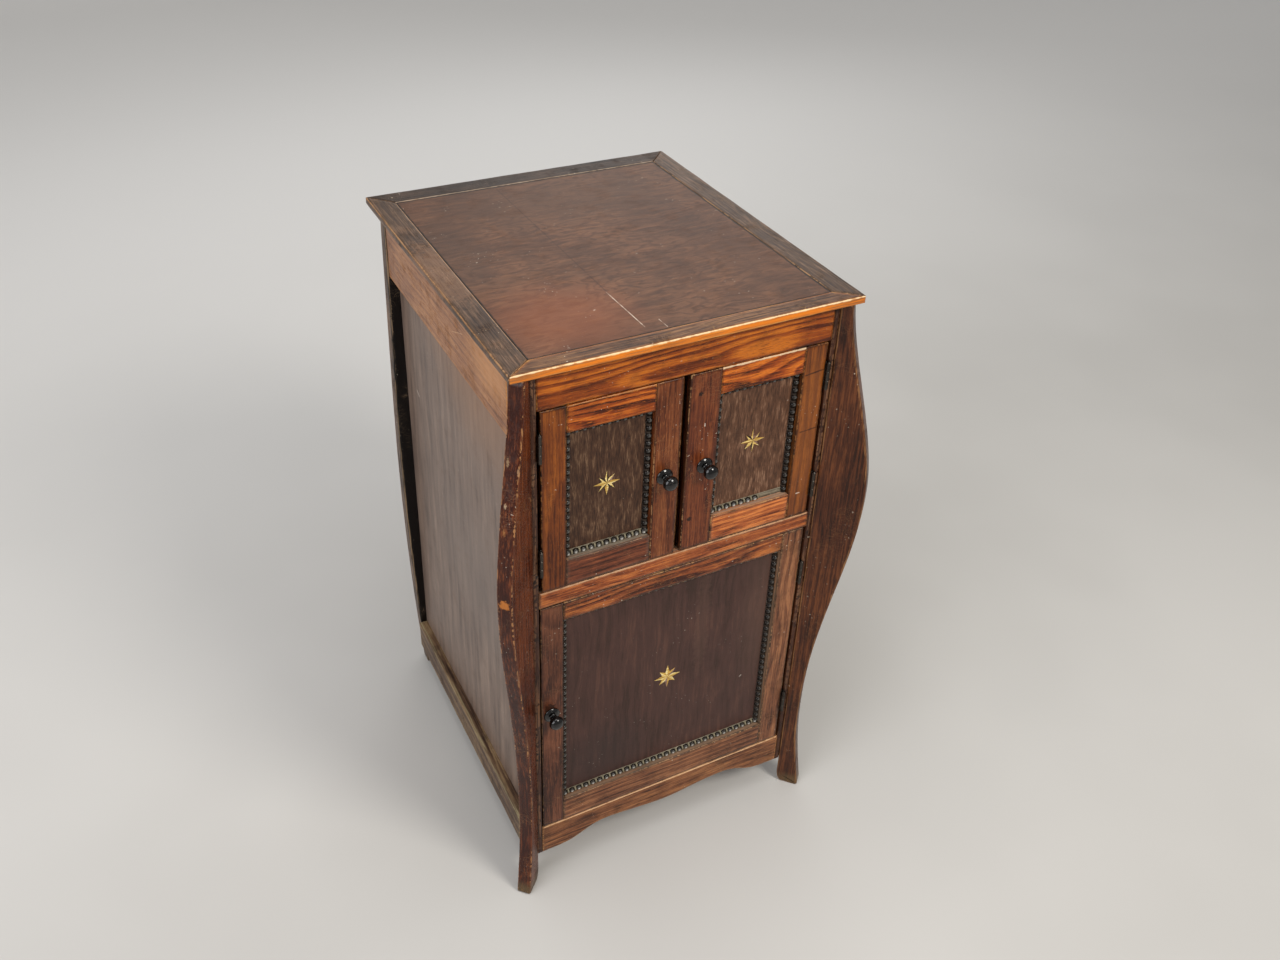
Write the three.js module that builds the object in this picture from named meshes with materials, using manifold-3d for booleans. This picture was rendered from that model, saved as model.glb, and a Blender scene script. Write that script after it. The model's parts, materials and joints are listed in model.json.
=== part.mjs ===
// A floor-standing gramophone cabinet: an oak frame with serpentine corner boards, a lifting lid
// over the turntable, two small doors in front of the horn's mouth and a record cupboard below.
// Millimetres, +Z up, the front faces -Y, the floor is Z = 0.
import * as THREE from 'three';
import { mergeVertices } from 'three/addons/utils/BufferGeometryUtils.js';
import Module from 'manifold-3d';

const wasm = await Module();
wasm.setup();

// ---- overall sizes
const HEIGHT = 890;
const TOP_WIDTH = 480;
const TOP_DEPTH = 543;
const OVERHANG_SIDE = 15.3;
const OVERHANG_FRONT = 10.7;
const OVERHANG_BACK = 14;

// ---- stock
const OAK = 20;
const PLY = 6;
const BOARD = 12;
const SEAT = 0.3;
const PAST = 2;

// ---- lid
const LID_THICK = 10;
const LID_SIDE_RAIL = 34;
const LID_FRONT_RAIL = 28;
const LID_BACK_RAIL = 36;
const LID_LIP = 6;
const LID_LIP_THICK = 3;
const LID_PANEL_SUNK = 0.7;
const MITRE_GAP = 0.4;

// ---- corner posts and serpentine boards
const POST_FACE = 6.9;
const POST_DEPTH = 35;
const REBATE = 10;
const BOW_THICK = 20.2;
const BOW_TOP = 15.5;
const BOW_REACH = 67.5;
const BOW_PEAK_Z = 592;
const BOW_WAIST = 21;
const BOW_WAIST_Z = 168;
const BOW_FOOT = 36;
const FOOT_ROUND = 11;
const BACK_POST_DEPTH = 21.5;
const BACK_POST_WIDTH = 35;
const BACK_POST_BELLY = 6.5;
const BACK_POST_BELLY_Z = 430;
const BACK_POST_TUCK = 10;

// ---- front rails, from the top down
const TOP_RAIL = 51;
const UPPER_OPENING = 274;
const MIDDLE_RAIL = 25;
const LOWER_OPENING = 424;
const BOTTOM_RAIL = 54;
const ARCH_RISE = 20;
const ARCH_DROP = 8;
const ARCH_SHOULDER = 22;

// ---- sides and back
const SIDE_TOP_RAIL = 103.5;
const SIDE_BOTTOM_RAIL = 53;
const SIDE_BOTTOM_Z = 46;
const SIDE_RECESS = 14;
const BACK_TOP_RAIL = 60;
const BACK_PANEL_Z = 50;

// ---- doors
const DOOR_GAP = 1.5;
const HINGE_GAP = 4.5;
const MEETING_GAP = 2;
const MEETING_REBATE = 7.5;
const MEETING_REBATE_DEPTH = 10;
const HINGE_STILE = 33.5;
const MEETING_STILE = 44.5;
const CUPBOARD_STILE = 32.5;
const UPPER_TOP_RAIL = 38;
const UPPER_BOTTOM_RAIL = 41;
const LOWER_TOP_RAIL = 30;
const LOWER_BOTTOM_RAIL = 42.5;
const PANEL_SUNK = 10.5;
const PANEL_TONGUE = 6;
const BEAD_WIDTH = 7;
const BEAD_DEPTH = 4.2;
const STAR_REACH = 18.5;
const LOWER_STAR_REACH = 21.5;
const STAR_DIAGONAL = 0.84;
const STAR_WAIST = 0.33;
const RIGHT_STAR_UP = 3.5;
const LOWER_STAR_DOWN = 7.5;
const STAR_THICK = 0.8;
const KNOB_REACH = 27;
const KNOB_RADIUS = 10.5;
const KNOB_ROSE = 11.5;
const UPPER_KNOB_IN = 28;
const UPPER_KNOB_Z = 687;
const LOWER_KNOB_IN = 14.5;
const LOWER_KNOB_Z = 334;

// ---- butt hinges
const HINGE_HEIGHT = 40;
const HINGE_LEAF = 1.5;
const LET_IN = 0.3;
const HINGE_LEAF_DEPTH = 16;
const KNUCKLE = 2.8;
const HINGE_PIN = 1.2;
const HINGE_FORWARD = 3;
const UPPER_HINGE_INSET = 49;
const LOWER_HINGE_INSET = 80;
const LID_HINGE_X = 150;
const LID_LEAF_REACH = 10;

// ---- lid stay
const STAY_RADIUS = 100;
const STAY_WIDTH = 8;
const STAY_THICK = 2;
const STAY_FROM_DEG = 1.5;
const STAY_TO_DEG = 68;
const STAY_GUIDE_DEG = 12;

// ---- inside the cabinet
const WELL_DEPTH = 105;
const MOUTH_SETBACK = 16;
const MOUTH_BOARD = 10;
const MOUTH_HALF_WIDTH = 170;
const MOUTH_BOTTOM = 12;
const MOUTH_OVER_MOTOR = 1;
const MOUTH_BOARD_TOP = 10;
const HORN_WALL = 4;
const FLOOR_BOARD_LAP = 9;
const SHELF_DROP = 2;
const BATTEN = 15;
const STOP_HALF_WIDTH = 60;
const DIVIDERS = 5;
const RACK_HALF_WIDTH = 200;
const RACK_HEIGHT = 190;
const RACK_DEPTH = 400;

// ---- turntable and motor
const PLATTER_RADIUS = 125;
const PLATTER_TOP = 21;
const MAT = 1;
const PLATTER_RIM = 13;
const LUG_INSET = 14;
const SPINDLE_SHARE = 0.33678;
const SPINDLE_RADIUS = 4;
const MOTOR_DEPTH = 74;
const MOTOR_PLATE = 3;
const BARREL_RADIUS = 38;
const BARREL_X = -52;
const GOVERNOR_FRONT = 43;
const MOTOR_FRONT = 57;
const MOTOR_BACK = 61;
const GOVERNOR_DROP = 47;
const RUN = 0.3;

// ---- tonearm and soundbox
const TONEARM_X = 110;
const TONEARM_BACK = 230;
const TONEARM_PARK_DEG = 13;
const TONEARM_LENGTH = 238;
const TONEARM_RISE = 61;
const TONEARM_RADIUS = 8;
const SPIGOT_RADIUS = 12;
const ELBOW = 18;
const SOUNDBOX_RADIUS = 27;
const SOUNDBOX_THICK = 14;
const NEEDLE_REACH = 36.5;

// ---- controls and crank
const LEVER_X = 150;
const LEVER_BACK = 49.8;
const LEVER_THICK = 3;
const SPEED_LEVER = 35;
const CRANK_DROP = 33;
const CRANK_BACK = 35;
const CRANK_GEAR = 13;
const CRANK_GEAR_LONG = 14;
const CRANK_HUB = 9;
const ESCUTCHEON = 22;
const ESCUTCHEON_COLLAR = 9;
const CRANK_RADIUS = 85;
const CRANK_SHAFT = 5;
const CRANK_ARM_OUT = 2.5;
const CRANK_ARM_THICK = 6;
const CRANK_GRIP = 11;

// ---- worked out from the sizes above
const side = TOP_WIDTH / 2 - OVERHANG_SIDE;
const front = -TOP_DEPTH / 2 + OVERHANG_FRONT;
const back = TOP_DEPTH / 2 - OVERHANG_BACK;
const lidUnder = HEIGHT - LID_THICK;
const chamfer = BOW_THICK * Math.SQRT1_2;
const opening = side - chamfer - POST_FACE;
const railBack = front + OAK;
const topRailZ = lidUnder - TOP_RAIL;
const middleTopZ = topRailZ - UPPER_OPENING;
const middleZ = middleTopZ - MIDDLE_RAIL;
const bottomTopZ = middleZ - LOWER_OPENING;
const bottomZ = bottomTopZ - BOTTOM_RAIL;
const panelOut = side - SIDE_RECESS;
const panelIn = panelOut - PLY;
const backPostFront = back - BACK_POST_DEPTH;
const backPanelFront = backPostFront - PLY;
const backPostIn = side - BACK_POST_WIDTH;
const sideTopZ = lidUnder - SIDE_TOP_RAIL;
const motorTopZ = lidUnder - WELL_DEPTH;
const motorUnderZ = motorTopZ - BOARD;
const mouthFront = railBack + MOUTH_SETBACK;
const mouthBack = mouthFront + MOUTH_BOARD;
const shelfTopZ = middleTopZ - SHELF_DROP;
const floorTopZ = bottomTopZ + FLOOR_BOARD_LAP;
const spindleY = mouthBack + SPINDLE_SHARE * (backPanelFront - mouthBack);
const leverY = mouthBack + LEVER_BACK;
const tonearmY = spindleY + TONEARM_BACK;
const crankY = spindleY + CRANK_BACK;
const governorY = spindleY - GOVERNOR_FRONT;
const motorY = [spindleY - MOTOR_FRONT, spindleY + MOTOR_BACK];
const platterTopZ = motorTopZ + PLATTER_TOP;
const motorPlateZ = motorUnderZ - MOTOR_DEPTH;
const mouthZ = shelfTopZ + MOUTH_BOTTOM;
const mouthHeight = motorPlateZ + MOUTH_OVER_MOTOR - mouthZ;
const crankZ = motorUnderZ - CRANK_DROP;
const bowReachX = side + BOW_REACH * Math.SQRT1_2;
const bowReachY = front - BOW_REACH * Math.SQRT1_2;
const lidHingeY = back + HINGE_FORWARD;
const lidHingeZ = lidUnder - HINGE_FORWARD;

// ---- materials
const finish = (colour, roughness, metalness) =>
  new THREE.MeshStandardMaterial({ color: colour, roughness, metalness });
const OAK_FRONT = finish('#8a4a22', 0.42, 0);
const OAK_DARK = finish('#3b2018', 0.4, 0);
const OAK_SIDE = finish('#6b4634', 0.5, 0);
const OAK_TOP = finish('#5a3a2c', 0.5, 0);
const PLY_TOP = finish('#7a3f2c', 0.38, 0);
const PLY_PANEL = finish('#4a3029', 0.5, 0);
const PLY_INSIDE = finish('#8d6b4a', 0.7, 0);
const BEADING = finish('#2d2620', 0.35, 0.3);
const STAR = finish('#d9b45c', 0.4, 0.2);
const BLACK = finish('#0d0d0d', 0.12, 0);
const IRON = finish('#26221f', 0.5, 0.9);
const NICKEL = finish('#c9c7c0', 0.25, 1);
const STEEL = finish('#7d7c78', 0.4, 1);
const HORN = finish('#57402c', 0.6, 0);
const CLOTH = finish('#3d4a2e', 0.95, 0);

// ---- geometry helpers
const cabinet = new THREE.Group();

function span(x0, x1, y0, y1, z0, z1) {
  const shape = new THREE.BoxGeometry(Math.abs(x1 - x0), Math.abs(y1 - y0), Math.abs(z1 - z0));
  return shape.translate((x0 + x1) / 2, (y0 + y1) / 2, (z0 + z1) / 2);
}

// A cylinder from one point to another point.
function rod(from, to, radius, sides = 16, endRadius = radius) {
  const start = new THREE.Vector3(...from);
  const axis = new THREE.Vector3(...to).sub(start);
  const shape = new THREE.CylinderGeometry(endRadius, radius, axis.length(), sides);
  shape.translate(0, axis.length() / 2, 0);
  const turn = new THREE.Quaternion().setFromUnitVectors(new THREE.Vector3(0, 1, 0), axis.normalize());
  return shape.applyQuaternion(turn).translate(...from);
}

// A turned piece: its profile is a list of [radius, height], and its height runs along +Z.
function turned(profile, sides = 32) {
  const points = profile.map(([radius, height]) => new THREE.Vector2(radius, height));
  return new THREE.LatheGeometry(points, sides).rotateX(Math.PI / 2);
}

// A flat shape given a thickness along +Z.
const thick = (shape, depth, curveSegments = 12) =>
  new THREE.ExtrudeGeometry(shape, { depth, bevelEnabled: false, curveSegments });

// A plan outline in X and Y, raised from z0 to z1.
function slab(outline, z0, z1) {
  const shape = new THREE.Shape(outline.map(([x, y]) => new THREE.Vector2(x, y)));
  return thick(shape, z1 - z0).translate(0, 0, z0);
}

function toSolid(geometry) {
  const bare = geometry.clone();
  bare.deleteAttribute('normal');
  bare.deleteAttribute('uv');
  const welded = mergeVertices(bare, 1e-4);
  return new wasm.Manifold(new wasm.Mesh({
    numProp: 3,
    vertProperties: welded.attributes.position.array,
    triVerts: Uint32Array.from(welded.index.array),
  }));
}

function toGeometry(solid) {
  const mesh = solid.getMesh();
  const geometry = new THREE.BufferGeometry();
  geometry.setAttribute('position', new THREE.BufferAttribute(Float32Array.from(mesh.vertProperties), 3));
  geometry.setIndex(new THREE.BufferAttribute(Uint32Array.from(mesh.triVerts), 1));
  return geometry;
}

function join(first, ...rest) {
  return toGeometry(rest.reduce((sum, piece) => sum.add(toSolid(piece)), toSolid(first)));
}

function cut(body, ...tools) {
  return toGeometry(tools.reduce((left, tool) => left.subtract(toSolid(tool)), toSolid(body)));
}

function place(name, geometry, material, parent = cabinet) {
  geometry.computeVertexNormals();
  const mesh = new THREE.Mesh(geometry, material);
  mesh.name = name;
  parent.add(mesh);
  return mesh;
}

function nest(parent, x, y, z) {
  const group = new THREE.Group();
  group.position.set(x, y, z);
  parent.add(group);
  return group;
}

const SIDES = [['left', -1], ['right', 1]];

// ---- knuckled hinges: thirds of the knuckle belong to the leaves in turn
const third = HINGE_HEIGHT / 3;

function knuckles(pieces) {
  return pieces.map(([from, to]) => rod([0, 0, from + RUN / 2], [0, 0, to - RUN / 2], KNUCKLE, 12));
}
const pinHole = rod([0, 0, -third], [0, 0, third * 4], HINGE_PIN + RUN, 10);
const pin = rod([0, 0, RUN], [0, 0, HINGE_HEIGHT - RUN], HINGE_PIN, 10);

// Leaves in a frame whose origin is the pin's lower end; sign says on which side the door lies.
// Each leaf is let into the wood that it is screwed to.
function movingLeaf(sign) {
  const edge = sign * HINGE_GAP / 2;
  const face = edge - sign * HINGE_LEAF;
  const reach = HINGE_FORWARD + HINGE_LEAF_DEPTH;
  const plate = span(face, edge + sign * LET_IN, HINGE_FORWARD + RUN, reach, 0, HINGE_HEIGHT);
  const tongue = span(face, edge, 0, HINGE_FORWARD + 1, third + RUN, 2 * third - RUN);
  return cut(join(plate, tongue, ...knuckles([[third, 2 * third]])), pinHole);
}

function fixedLeaf(sign) {
  const edge = -sign * HINGE_GAP / 2;
  const face = edge + sign * HINGE_LEAF;
  const reach = HINGE_FORWARD + HINGE_LEAF_DEPTH;
  const plate = span(face, edge - sign * LET_IN, HINGE_FORWARD + RUN, reach, 0, HINGE_HEIGHT);
  const low = span(face, edge, 0, HINGE_FORWARD + 1, RUN, third - RUN);
  const high = span(face, edge, 0, HINGE_FORWARD + 1, 2 * third + RUN, HINGE_HEIGHT - RUN);
  return join(plate, low, high, ...knuckles([[0, third], [2 * third, HINGE_HEIGHT]]), pin);
}

// The lid's hinges lie on their side: the pin runs along X behind the back rail.
function lidMovingLeaf() {
  const clear = KNUCKLE + RUN;
  const plate = span(
    clear, LID_LEAF_REACH, HINGE_FORWARD - HINGE_LEAF, HINGE_FORWARD + LET_IN, 0, HINGE_HEIGHT);
  const tongue = span(0, clear + 1, 0, HINGE_FORWARD, third + RUN, 2 * third - RUN);
  return cut(join(plate, tongue, ...knuckles([[third, 2 * third]])), pinHole);
}

function lidFixedLeaf() {
  const face = -HINGE_FORWARD - HINGE_LEAF;
  const plate = span(face - LET_IN, face + HINGE_LEAF - 0.1, -HINGE_LEAF_DEPTH, 1, 0, HINGE_HEIGHT);
  const ends = [[RUN, third - RUN], [2 * third + RUN, HINGE_HEIGHT - RUN]];
  const tongues = ends.map(([from, to]) => span(face, 0, -HINGE_LEAF, HINGE_LEAF / 2, from, to));
  return join(plate, ...tongues, ...knuckles([[0, third], [2 * third, HINGE_HEIGHT]]), pin);
}

// Turns the hinge's own frame: its X goes to +Y, its Y to +Z and its Z to +X.
const onItsSide = new THREE.Matrix4().makeBasis(
  new THREE.Vector3(0, 1, 0), new THREE.Vector3(0, 0, 1), new THREE.Vector3(1, 0, 0));
const lidHinge = (leaf, sign) => leaf().applyMatrix4(onItsSide)
  .translate(sign * LID_HINGE_X - HINGE_HEIGHT / 2, lidHingeY, lidHingeZ);

// ---- where the doors hang
const hingeEdge = opening - HINGE_GAP;
const upperDoor = {
  bottom: middleTopZ + DOOR_GAP,
  height: UPPER_OPENING - 2 * DOOR_GAP,
  latchStile: MEETING_STILE,
  topRail: UPPER_TOP_RAIL,
  bottomRail: UPPER_BOTTOM_RAIL,
  inset: UPPER_HINGE_INSET,
  knob: { in: UPPER_KNOB_IN, z: UPPER_KNOB_Z },
  star: { reach: STAR_REACH, up: 0 },
};
const DOORS = {
  left_door: { ...upperDoor, sign: 1, width: hingeEdge - 1.5 * MEETING_GAP, lap: MEETING_REBATE },
  right_door: {
    ...upperDoor,
    sign: -1,
    width: hingeEdge + MEETING_GAP / 2,
    lap: 0,
    star: { reach: STAR_REACH, up: RIGHT_STAR_UP },
  },
  lower_door: {
    sign: -1,
    bottom: bottomTopZ + DOOR_GAP,
    width: hingeEdge + opening - DOOR_GAP,
    height: LOWER_OPENING - 2 * DOOR_GAP,
    latchStile: CUPBOARD_STILE,
    topRail: LOWER_TOP_RAIL,
    bottomRail: LOWER_BOTTOM_RAIL,
    inset: LOWER_HINGE_INSET,
    lap: 0,
    knob: { in: LOWER_KNOB_IN, z: LOWER_KNOB_Z },
    star: { reach: LOWER_STAR_REACH, up: -LOWER_STAR_DOWN },
  },
};
const hingeLevels = ({ inset, height }) => [inset - HINGE_HEIGHT / 2, height - inset - HINGE_HEIGHT / 2];

// The leaves that stay on the post beside a door.
function postLeaves(door) {
  return hingeLevels(door).map((level) => fixedLeaf(door.sign).translate(
    -door.sign * (opening - HINGE_GAP / 2), front - HINGE_FORWARD, door.bottom + level));
}

// ---- corner posts: the chamfered corner carries the serpentine board
function cornerPost(sign) {
  const shoulder = panelOut + RUN;
  const outline = [
    [opening, front],
    [side - chamfer, front],
    [side, front + chamfer],
    [side, front + POST_DEPTH],
    [shoulder, front + POST_DEPTH],
    [shoulder, front + POST_DEPTH - REBATE],
    [opening, front + POST_DEPTH - REBATE],
  ];
  return slab(outline.map(([x, y]) => [sign * x, y]), bottomZ, lidUnder);
}

// The board's outline: u runs outwards along the diagonal, the other axis is the height.
function bowOutline() {
  const shape = new THREE.Shape();
  shape.moveTo(SEAT, lidUnder);
  shape.lineTo(SEAT, FOOT_ROUND * 2);
  shape.quadraticCurveTo(SEAT, 0, FOOT_ROUND, 0);
  shape.lineTo(BOW_FOOT - FOOT_ROUND / 2, 0);
  shape.quadraticCurveTo(BOW_FOOT, 0, BOW_FOOT - 1, FOOT_ROUND / 2);
  shape.bezierCurveTo(BOW_FOOT - 8, 60, BOW_WAIST, 95, BOW_WAIST, BOW_WAIST_Z);
  const drop = BOW_PEAK_Z - BOW_WAIST_Z;
  const climb = lidUnder - BOW_PEAK_Z;
  shape.bezierCurveTo(
    BOW_WAIST, BOW_WAIST_Z + drop * 0.44, BOW_REACH, BOW_PEAK_Z - drop * 0.3, BOW_REACH, BOW_PEAK_Z);
  shape.bezierCurveTo(
    BOW_REACH, BOW_PEAK_Z + climb * 0.33, BOW_TOP + 6, lidUnder - climb * 0.3, BOW_TOP, lidUnder);
  return shape;
}

function bowBoard(sign) {
  const outward = new THREE.Vector3(sign, -1, 0).normalize();
  const up = new THREE.Vector3(0, 0, 1);
  const through = outward.clone().cross(up);
  const corner = sign < 0 ? [-(side - chamfer), front, 0] : [side, front + chamfer, 0];
  const frame = new THREE.Matrix4().makeBasis(outward, up, through).setPosition(...corner);
  return thick(bowOutline(), BOW_THICK).applyMatrix4(frame);
}

for (const [word, sign] of SIDES) {
  const doors = Object.values(DOORS).filter((door) => door.sign === -sign);
  place(`corner_post_${word}`, join(cornerPost(sign), ...doors.flatMap(postLeaves)), OAK_FRONT);
  place(`bow_board_${word}`, bowBoard(sign), OAK_DARK);
}

// ---- back posts: boards in the back plane whose outer edge swells a little
function backPost(sign) {
  const shape = new THREE.Shape();
  shape.moveTo(sign * backPostIn, 0);
  shape.lineTo(sign * (side - BACK_POST_TUCK), 0);
  shape.splineThru([
    new THREE.Vector2(sign * side, BOW_WAIST_Z),
    new THREE.Vector2(sign * (side + BACK_POST_BELLY), BACK_POST_BELLY_Z),
    new THREE.Vector2(sign * (side + BACK_POST_BELLY / 3), topRailZ - TOP_RAIL),
    new THREE.Vector2(sign * side, lidUnder),
  ]);
  shape.lineTo(sign * backPostIn, lidUnder);
  return thick(shape, BACK_POST_DEPTH, 4).rotateX(Math.PI / 2).translate(0, back, 0);
}

for (const [word, sign] of SIDES) {
  place(`back_post_${word}`, backPost(sign), OAK_SIDE);
}

// ---- front rails
place('front_top_rail', span(-opening, opening, front, railBack, topRailZ, lidUnder), OAK_FRONT);
place('front_middle_rail', span(-opening, opening, front, railBack, middleZ, middleTopZ), OAK_FRONT);

// The bottom rail's lower edge rises from each end and dips again in the middle.
function scrolledRail() {
  const high = bottomZ + ARCH_RISE;
  const crest = opening / 2;
  const shape = new THREE.Shape();
  shape.moveTo(-opening, bottomTopZ);
  shape.lineTo(-opening, bottomZ);
  shape.lineTo(-opening + ARCH_SHOULDER, bottomZ);
  shape.bezierCurveTo(-crest - 40, bottomZ, -crest - 30, high, -crest, high);
  shape.bezierCurveTo(-crest + 45, high, -40, high - ARCH_DROP, 0, high - ARCH_DROP);
  shape.bezierCurveTo(40, high - ARCH_DROP, crest - 45, high, crest, high);
  shape.bezierCurveTo(crest + 30, high, crest + 40, bottomZ, opening - ARCH_SHOULDER, bottomZ);
  shape.lineTo(opening, bottomZ);
  shape.lineTo(opening, bottomTopZ);
  return thick(shape, OAK, 8).rotateX(Math.PI / 2).translate(0, railBack, 0);
}
place('front_bottom_rail', scrolledRail(), OAK_FRONT);

// ---- side frames: rails with an inside rebate that the panel sits in
const sideFront = front + POST_DEPTH;

function sideRail(sign, z0, z1, rebateAtBottom) {
  const [y0, y1] = [sideFront, backPostFront];
  const rail = span(sign * (side - OAK), sign * side, y0, y1, z0, z1);
  const lip = rebateAtBottom ? [z0 - PAST, z0 + REBATE] : [z1 - REBATE, z1 + PAST];
  const notch = span(sign * (panelIn - PAST), sign * (panelOut + RUN), y0 - PAST, y1 + PAST, ...lip);
  return cut(rail, notch);
}

for (const [word, sign] of SIDES) {
  place(`side_top_rail_${word}`, sideRail(sign, sideTopZ, lidUnder, true), OAK_SIDE);
}
const sideBottomTop = SIDE_BOTTOM_Z + SIDE_BOTTOM_RAIL;
for (const [word, sign] of SIDES) {
  place(`side_bottom_rail_${word}`, sideRail(sign, SIDE_BOTTOM_Z, sideBottomTop, false), OAK_SIDE);
}

const bushRadius = CRANK_SHAFT + 4;

function sidePanel(sign) {
  const panelFront = sideFront - REBATE + SEAT;
  const z0 = sideBottomTop - REBATE + SEAT;
  const z1 = sideTopZ + REBATE - SEAT;
  return span(sign * panelIn, sign * panelOut, panelFront, backPostFront, z0, z1);
}
const crankHole = rod(
  [panelIn - PAST, crankY, crankZ], [panelOut + PAST, crankY, crankZ], bushRadius + RUN, 24);
place('side_panel_left', sidePanel(-1), PLY_PANEL);
place('side_panel_right', cut(sidePanel(1), crankHole), PLY_PANEL);

// ---- back
const backRailFace = back - HINGE_LEAF;
const backRail = (z0, z1) => span(-backPostIn, backPostIn, backPostFront, backRailFace, z0, z1);
const lidFixedLeaves = SIDES.map(([, sign]) => lidHinge(lidFixedLeaf, sign));
place('back_top_rail', join(backRail(lidUnder - BACK_TOP_RAIL, lidUnder), ...lidFixedLeaves), OAK_SIDE);
place('back_bottom_rail', backRail(SIDE_BOTTOM_Z, sideBottomTop), OAK_SIDE);
place('back_panel', span(
  -opening, opening, backPanelFront, backPostFront, BACK_PANEL_Z, lidUnder - SEAT), PLY_INSIDE);

// ---- boards inside
const boardHole = (x, y, radius) =>
  rod([x, y, motorUnderZ - PAST], [x, y, motorTopZ + PAST], radius + 2 * RUN, 24);
const spindleHole = boardHole(0, spindleY, SPINDLE_RADIUS);
const throatHole = boardHole(TONEARM_X, tonearmY, SPIGOT_RADIUS);

// A board with a batten glued under each end.
function shelf(topZ, from, battenFrom) {
  const underZ = topZ - BOARD;
  const board = span(-opening, opening, from, backPanelFront, underZ, topZ);
  const batten = (sign) => span(
    sign * (panelIn - BATTEN), sign * panelIn, battenFrom, backPanelFront,
    underZ - BATTEN, underZ + LET_IN);
  return join(board, batten(-1), batten(1));
}
place('motor_board', cut(shelf(motorTopZ, mouthBack, mouthBack), spindleHole, throatHole), OAK_FRONT);

// Two strips stop the doors: one on the mouth board, one under the shelf.
const mouthBoard = span(-opening, opening, mouthFront, mouthBack, shelfTopZ, lidUnder - MOUTH_BOARD_TOP);
const upperStop = span(
  -STOP_HALF_WIDTH, STOP_HALF_WIDTH, railBack + SEAT, mouthFront + LET_IN,
  topRailZ - BATTEN, topRailZ + BATTEN);
const mouthHole = span(
  -MOUTH_HALF_WIDTH, MOUTH_HALF_WIDTH, mouthFront - PAST, mouthBack + PAST, mouthZ, mouthZ + mouthHeight);
place('mouth_board', cut(join(mouthBoard, upperStop), mouthHole), OAK_DARK);
const lowerStop = span(
  -opening + 2 * BATTEN, 0, railBack + SEAT, mouthFront, middleZ - BATTEN, shelfTopZ - BOARD + LET_IN);
place('shelf_board', join(shelf(shelfTopZ, railBack, sideFront), lowerStop), PLY_INSIDE);
place('floor_board', shelf(floorTopZ, railBack + SEAT, sideFront), PLY_INSIDE);

// The record rack: upright dividers on a common back.
const rackTopZ = floorTopZ + RACK_HEIGHT;
const rackBackY = RACK_DEPTH / 2 - PLY;
const rackBack = span(-RACK_HALF_WIDTH, RACK_HALF_WIDTH, rackBackY, rackBackY + PLY, floorTopZ, rackTopZ);
const dividers = [];
for (let index = 0; index < DIVIDERS; index += 1) {
  const x = index * (2 * RACK_HALF_WIDTH - PLY) / (DIVIDERS - 1) - RACK_HALF_WIDTH;
  dividers.push(span(x, x + PLY, -RACK_DEPTH / 2, rackBackY + LET_IN, floorTopZ, rackTopZ));
}
place('record_rack', join(rackBack, ...dividers), PLY_INSIDE);

// ---- the horn: a square duct that widens from the throat to the mouth, and the elbow at its end
function ductRing({ at, width, height, lean }, inset) {
  const across = width / 2 - inset;
  const half = height / 2 - inset;
  const up = [0, Math.sin(lean), Math.cos(lean)];
  const corners = [[-1, -1], [1, -1], [1, 1], [-1, 1]];
  return corners.map(([i, j]) => [at[0] + i * across, at[1] + j * half * up[1], at[2] + j * half * up[2]]);
}

function duct(stations, wall) {
  const outside = stations.map((station) => ductRing(station, 0));
  const inside = stations.map((station) => ductRing(station, wall));
  const rings = [...outside, ...inside.reverse()];
  const positions = rings.flat(2);
  const index = [];
  for (let ring = 0; ring < rings.length; ring += 1) {
    const next = (ring + 1) % rings.length;
    for (let corner = 0; corner < 4; corner += 1) {
      const beside = (corner + 1) % 4;
      const [a, b, c, d] = [ring * 4 + corner, ring * 4 + beside, next * 4 + beside, next * 4 + corner];
      index.push(a, c, b, a, d, c);
    }
  }
  const geometry = new THREE.BufferGeometry();
  geometry.setAttribute('position', new THREE.BufferAttribute(Float32Array.from(positions), 3));
  geometry.setIndex(index);
  return geometry;
}

// Along the duct the middle's height and the duct's height are shares of the mouth's.
const share = (part) => part * mouthHeight;
const across = (part) => part * MOUTH_HALF_WIDTH;
const aside = (part) => part * TONEARM_X;
const station = (at, width, height, lean = 0) => ({ at, width, height, lean });
const hornEndY = tonearmY - aside(0.773);
const hornEndZ = mouthZ + share(0.372);
const throat = 2 * SPIGOT_RADIUS + 4 * HORN_WALL;
const hornStations = [
  station(
    [0, mouthBack + SEAT, mouthZ + share(0.5)],
    2 * (MOUTH_HALF_WIDTH + HORN_WALL), mouthHeight + 2 * HORN_WALL),
  station([aside(0.073), spindleY + aside(0.045), mouthZ + share(0.404)], across(1.388), share(0.736)),
  station([aside(0.409), hornEndY, hornEndZ], across(0.8), share(0.512)),
];
const elbowStations = [
  station([aside(0.409), hornEndY + SEAT, hornEndZ], across(0.8), share(0.512)),
  station(
    [aside(0.773), tonearmY - aside(0.136), mouthZ + share(0.484)],
    across(0.435), share(0.416), -Math.PI / 4),
  station([TONEARM_X, tonearmY, mouthZ + share(0.996)], throat * 1.15, throat * 1.1, -Math.PI / 2),
  station([TONEARM_X, tonearmY, motorUnderZ - SEAT], throat, throat, -Math.PI / 2),
];
place('horn', duct(hornStations, HORN_WALL), HORN);
place('horn_elbow', duct(elbowStations, HORN_WALL), IRON);

// ---- lid
const lid = nest(cabinet, 0, 0, lidUnder);
const lidX = TOP_WIDTH / 2;
const lidY = TOP_DEPTH / 2;

// The inner edge of the rails, or of their lip, on the same mitre lines.
function lidPlan(grow) {
  return {
    x: lidX - LID_SIDE_RAIL * grow,
    y0: -lidY + LID_FRONT_RAIL * grow,
    y1: lidY - LID_BACK_RAIL * grow,
  };
}
const lidInner = lidPlan(1);
const lidLip = lidPlan(1 + LID_LIP / LID_SIDE_RAIL);

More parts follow.
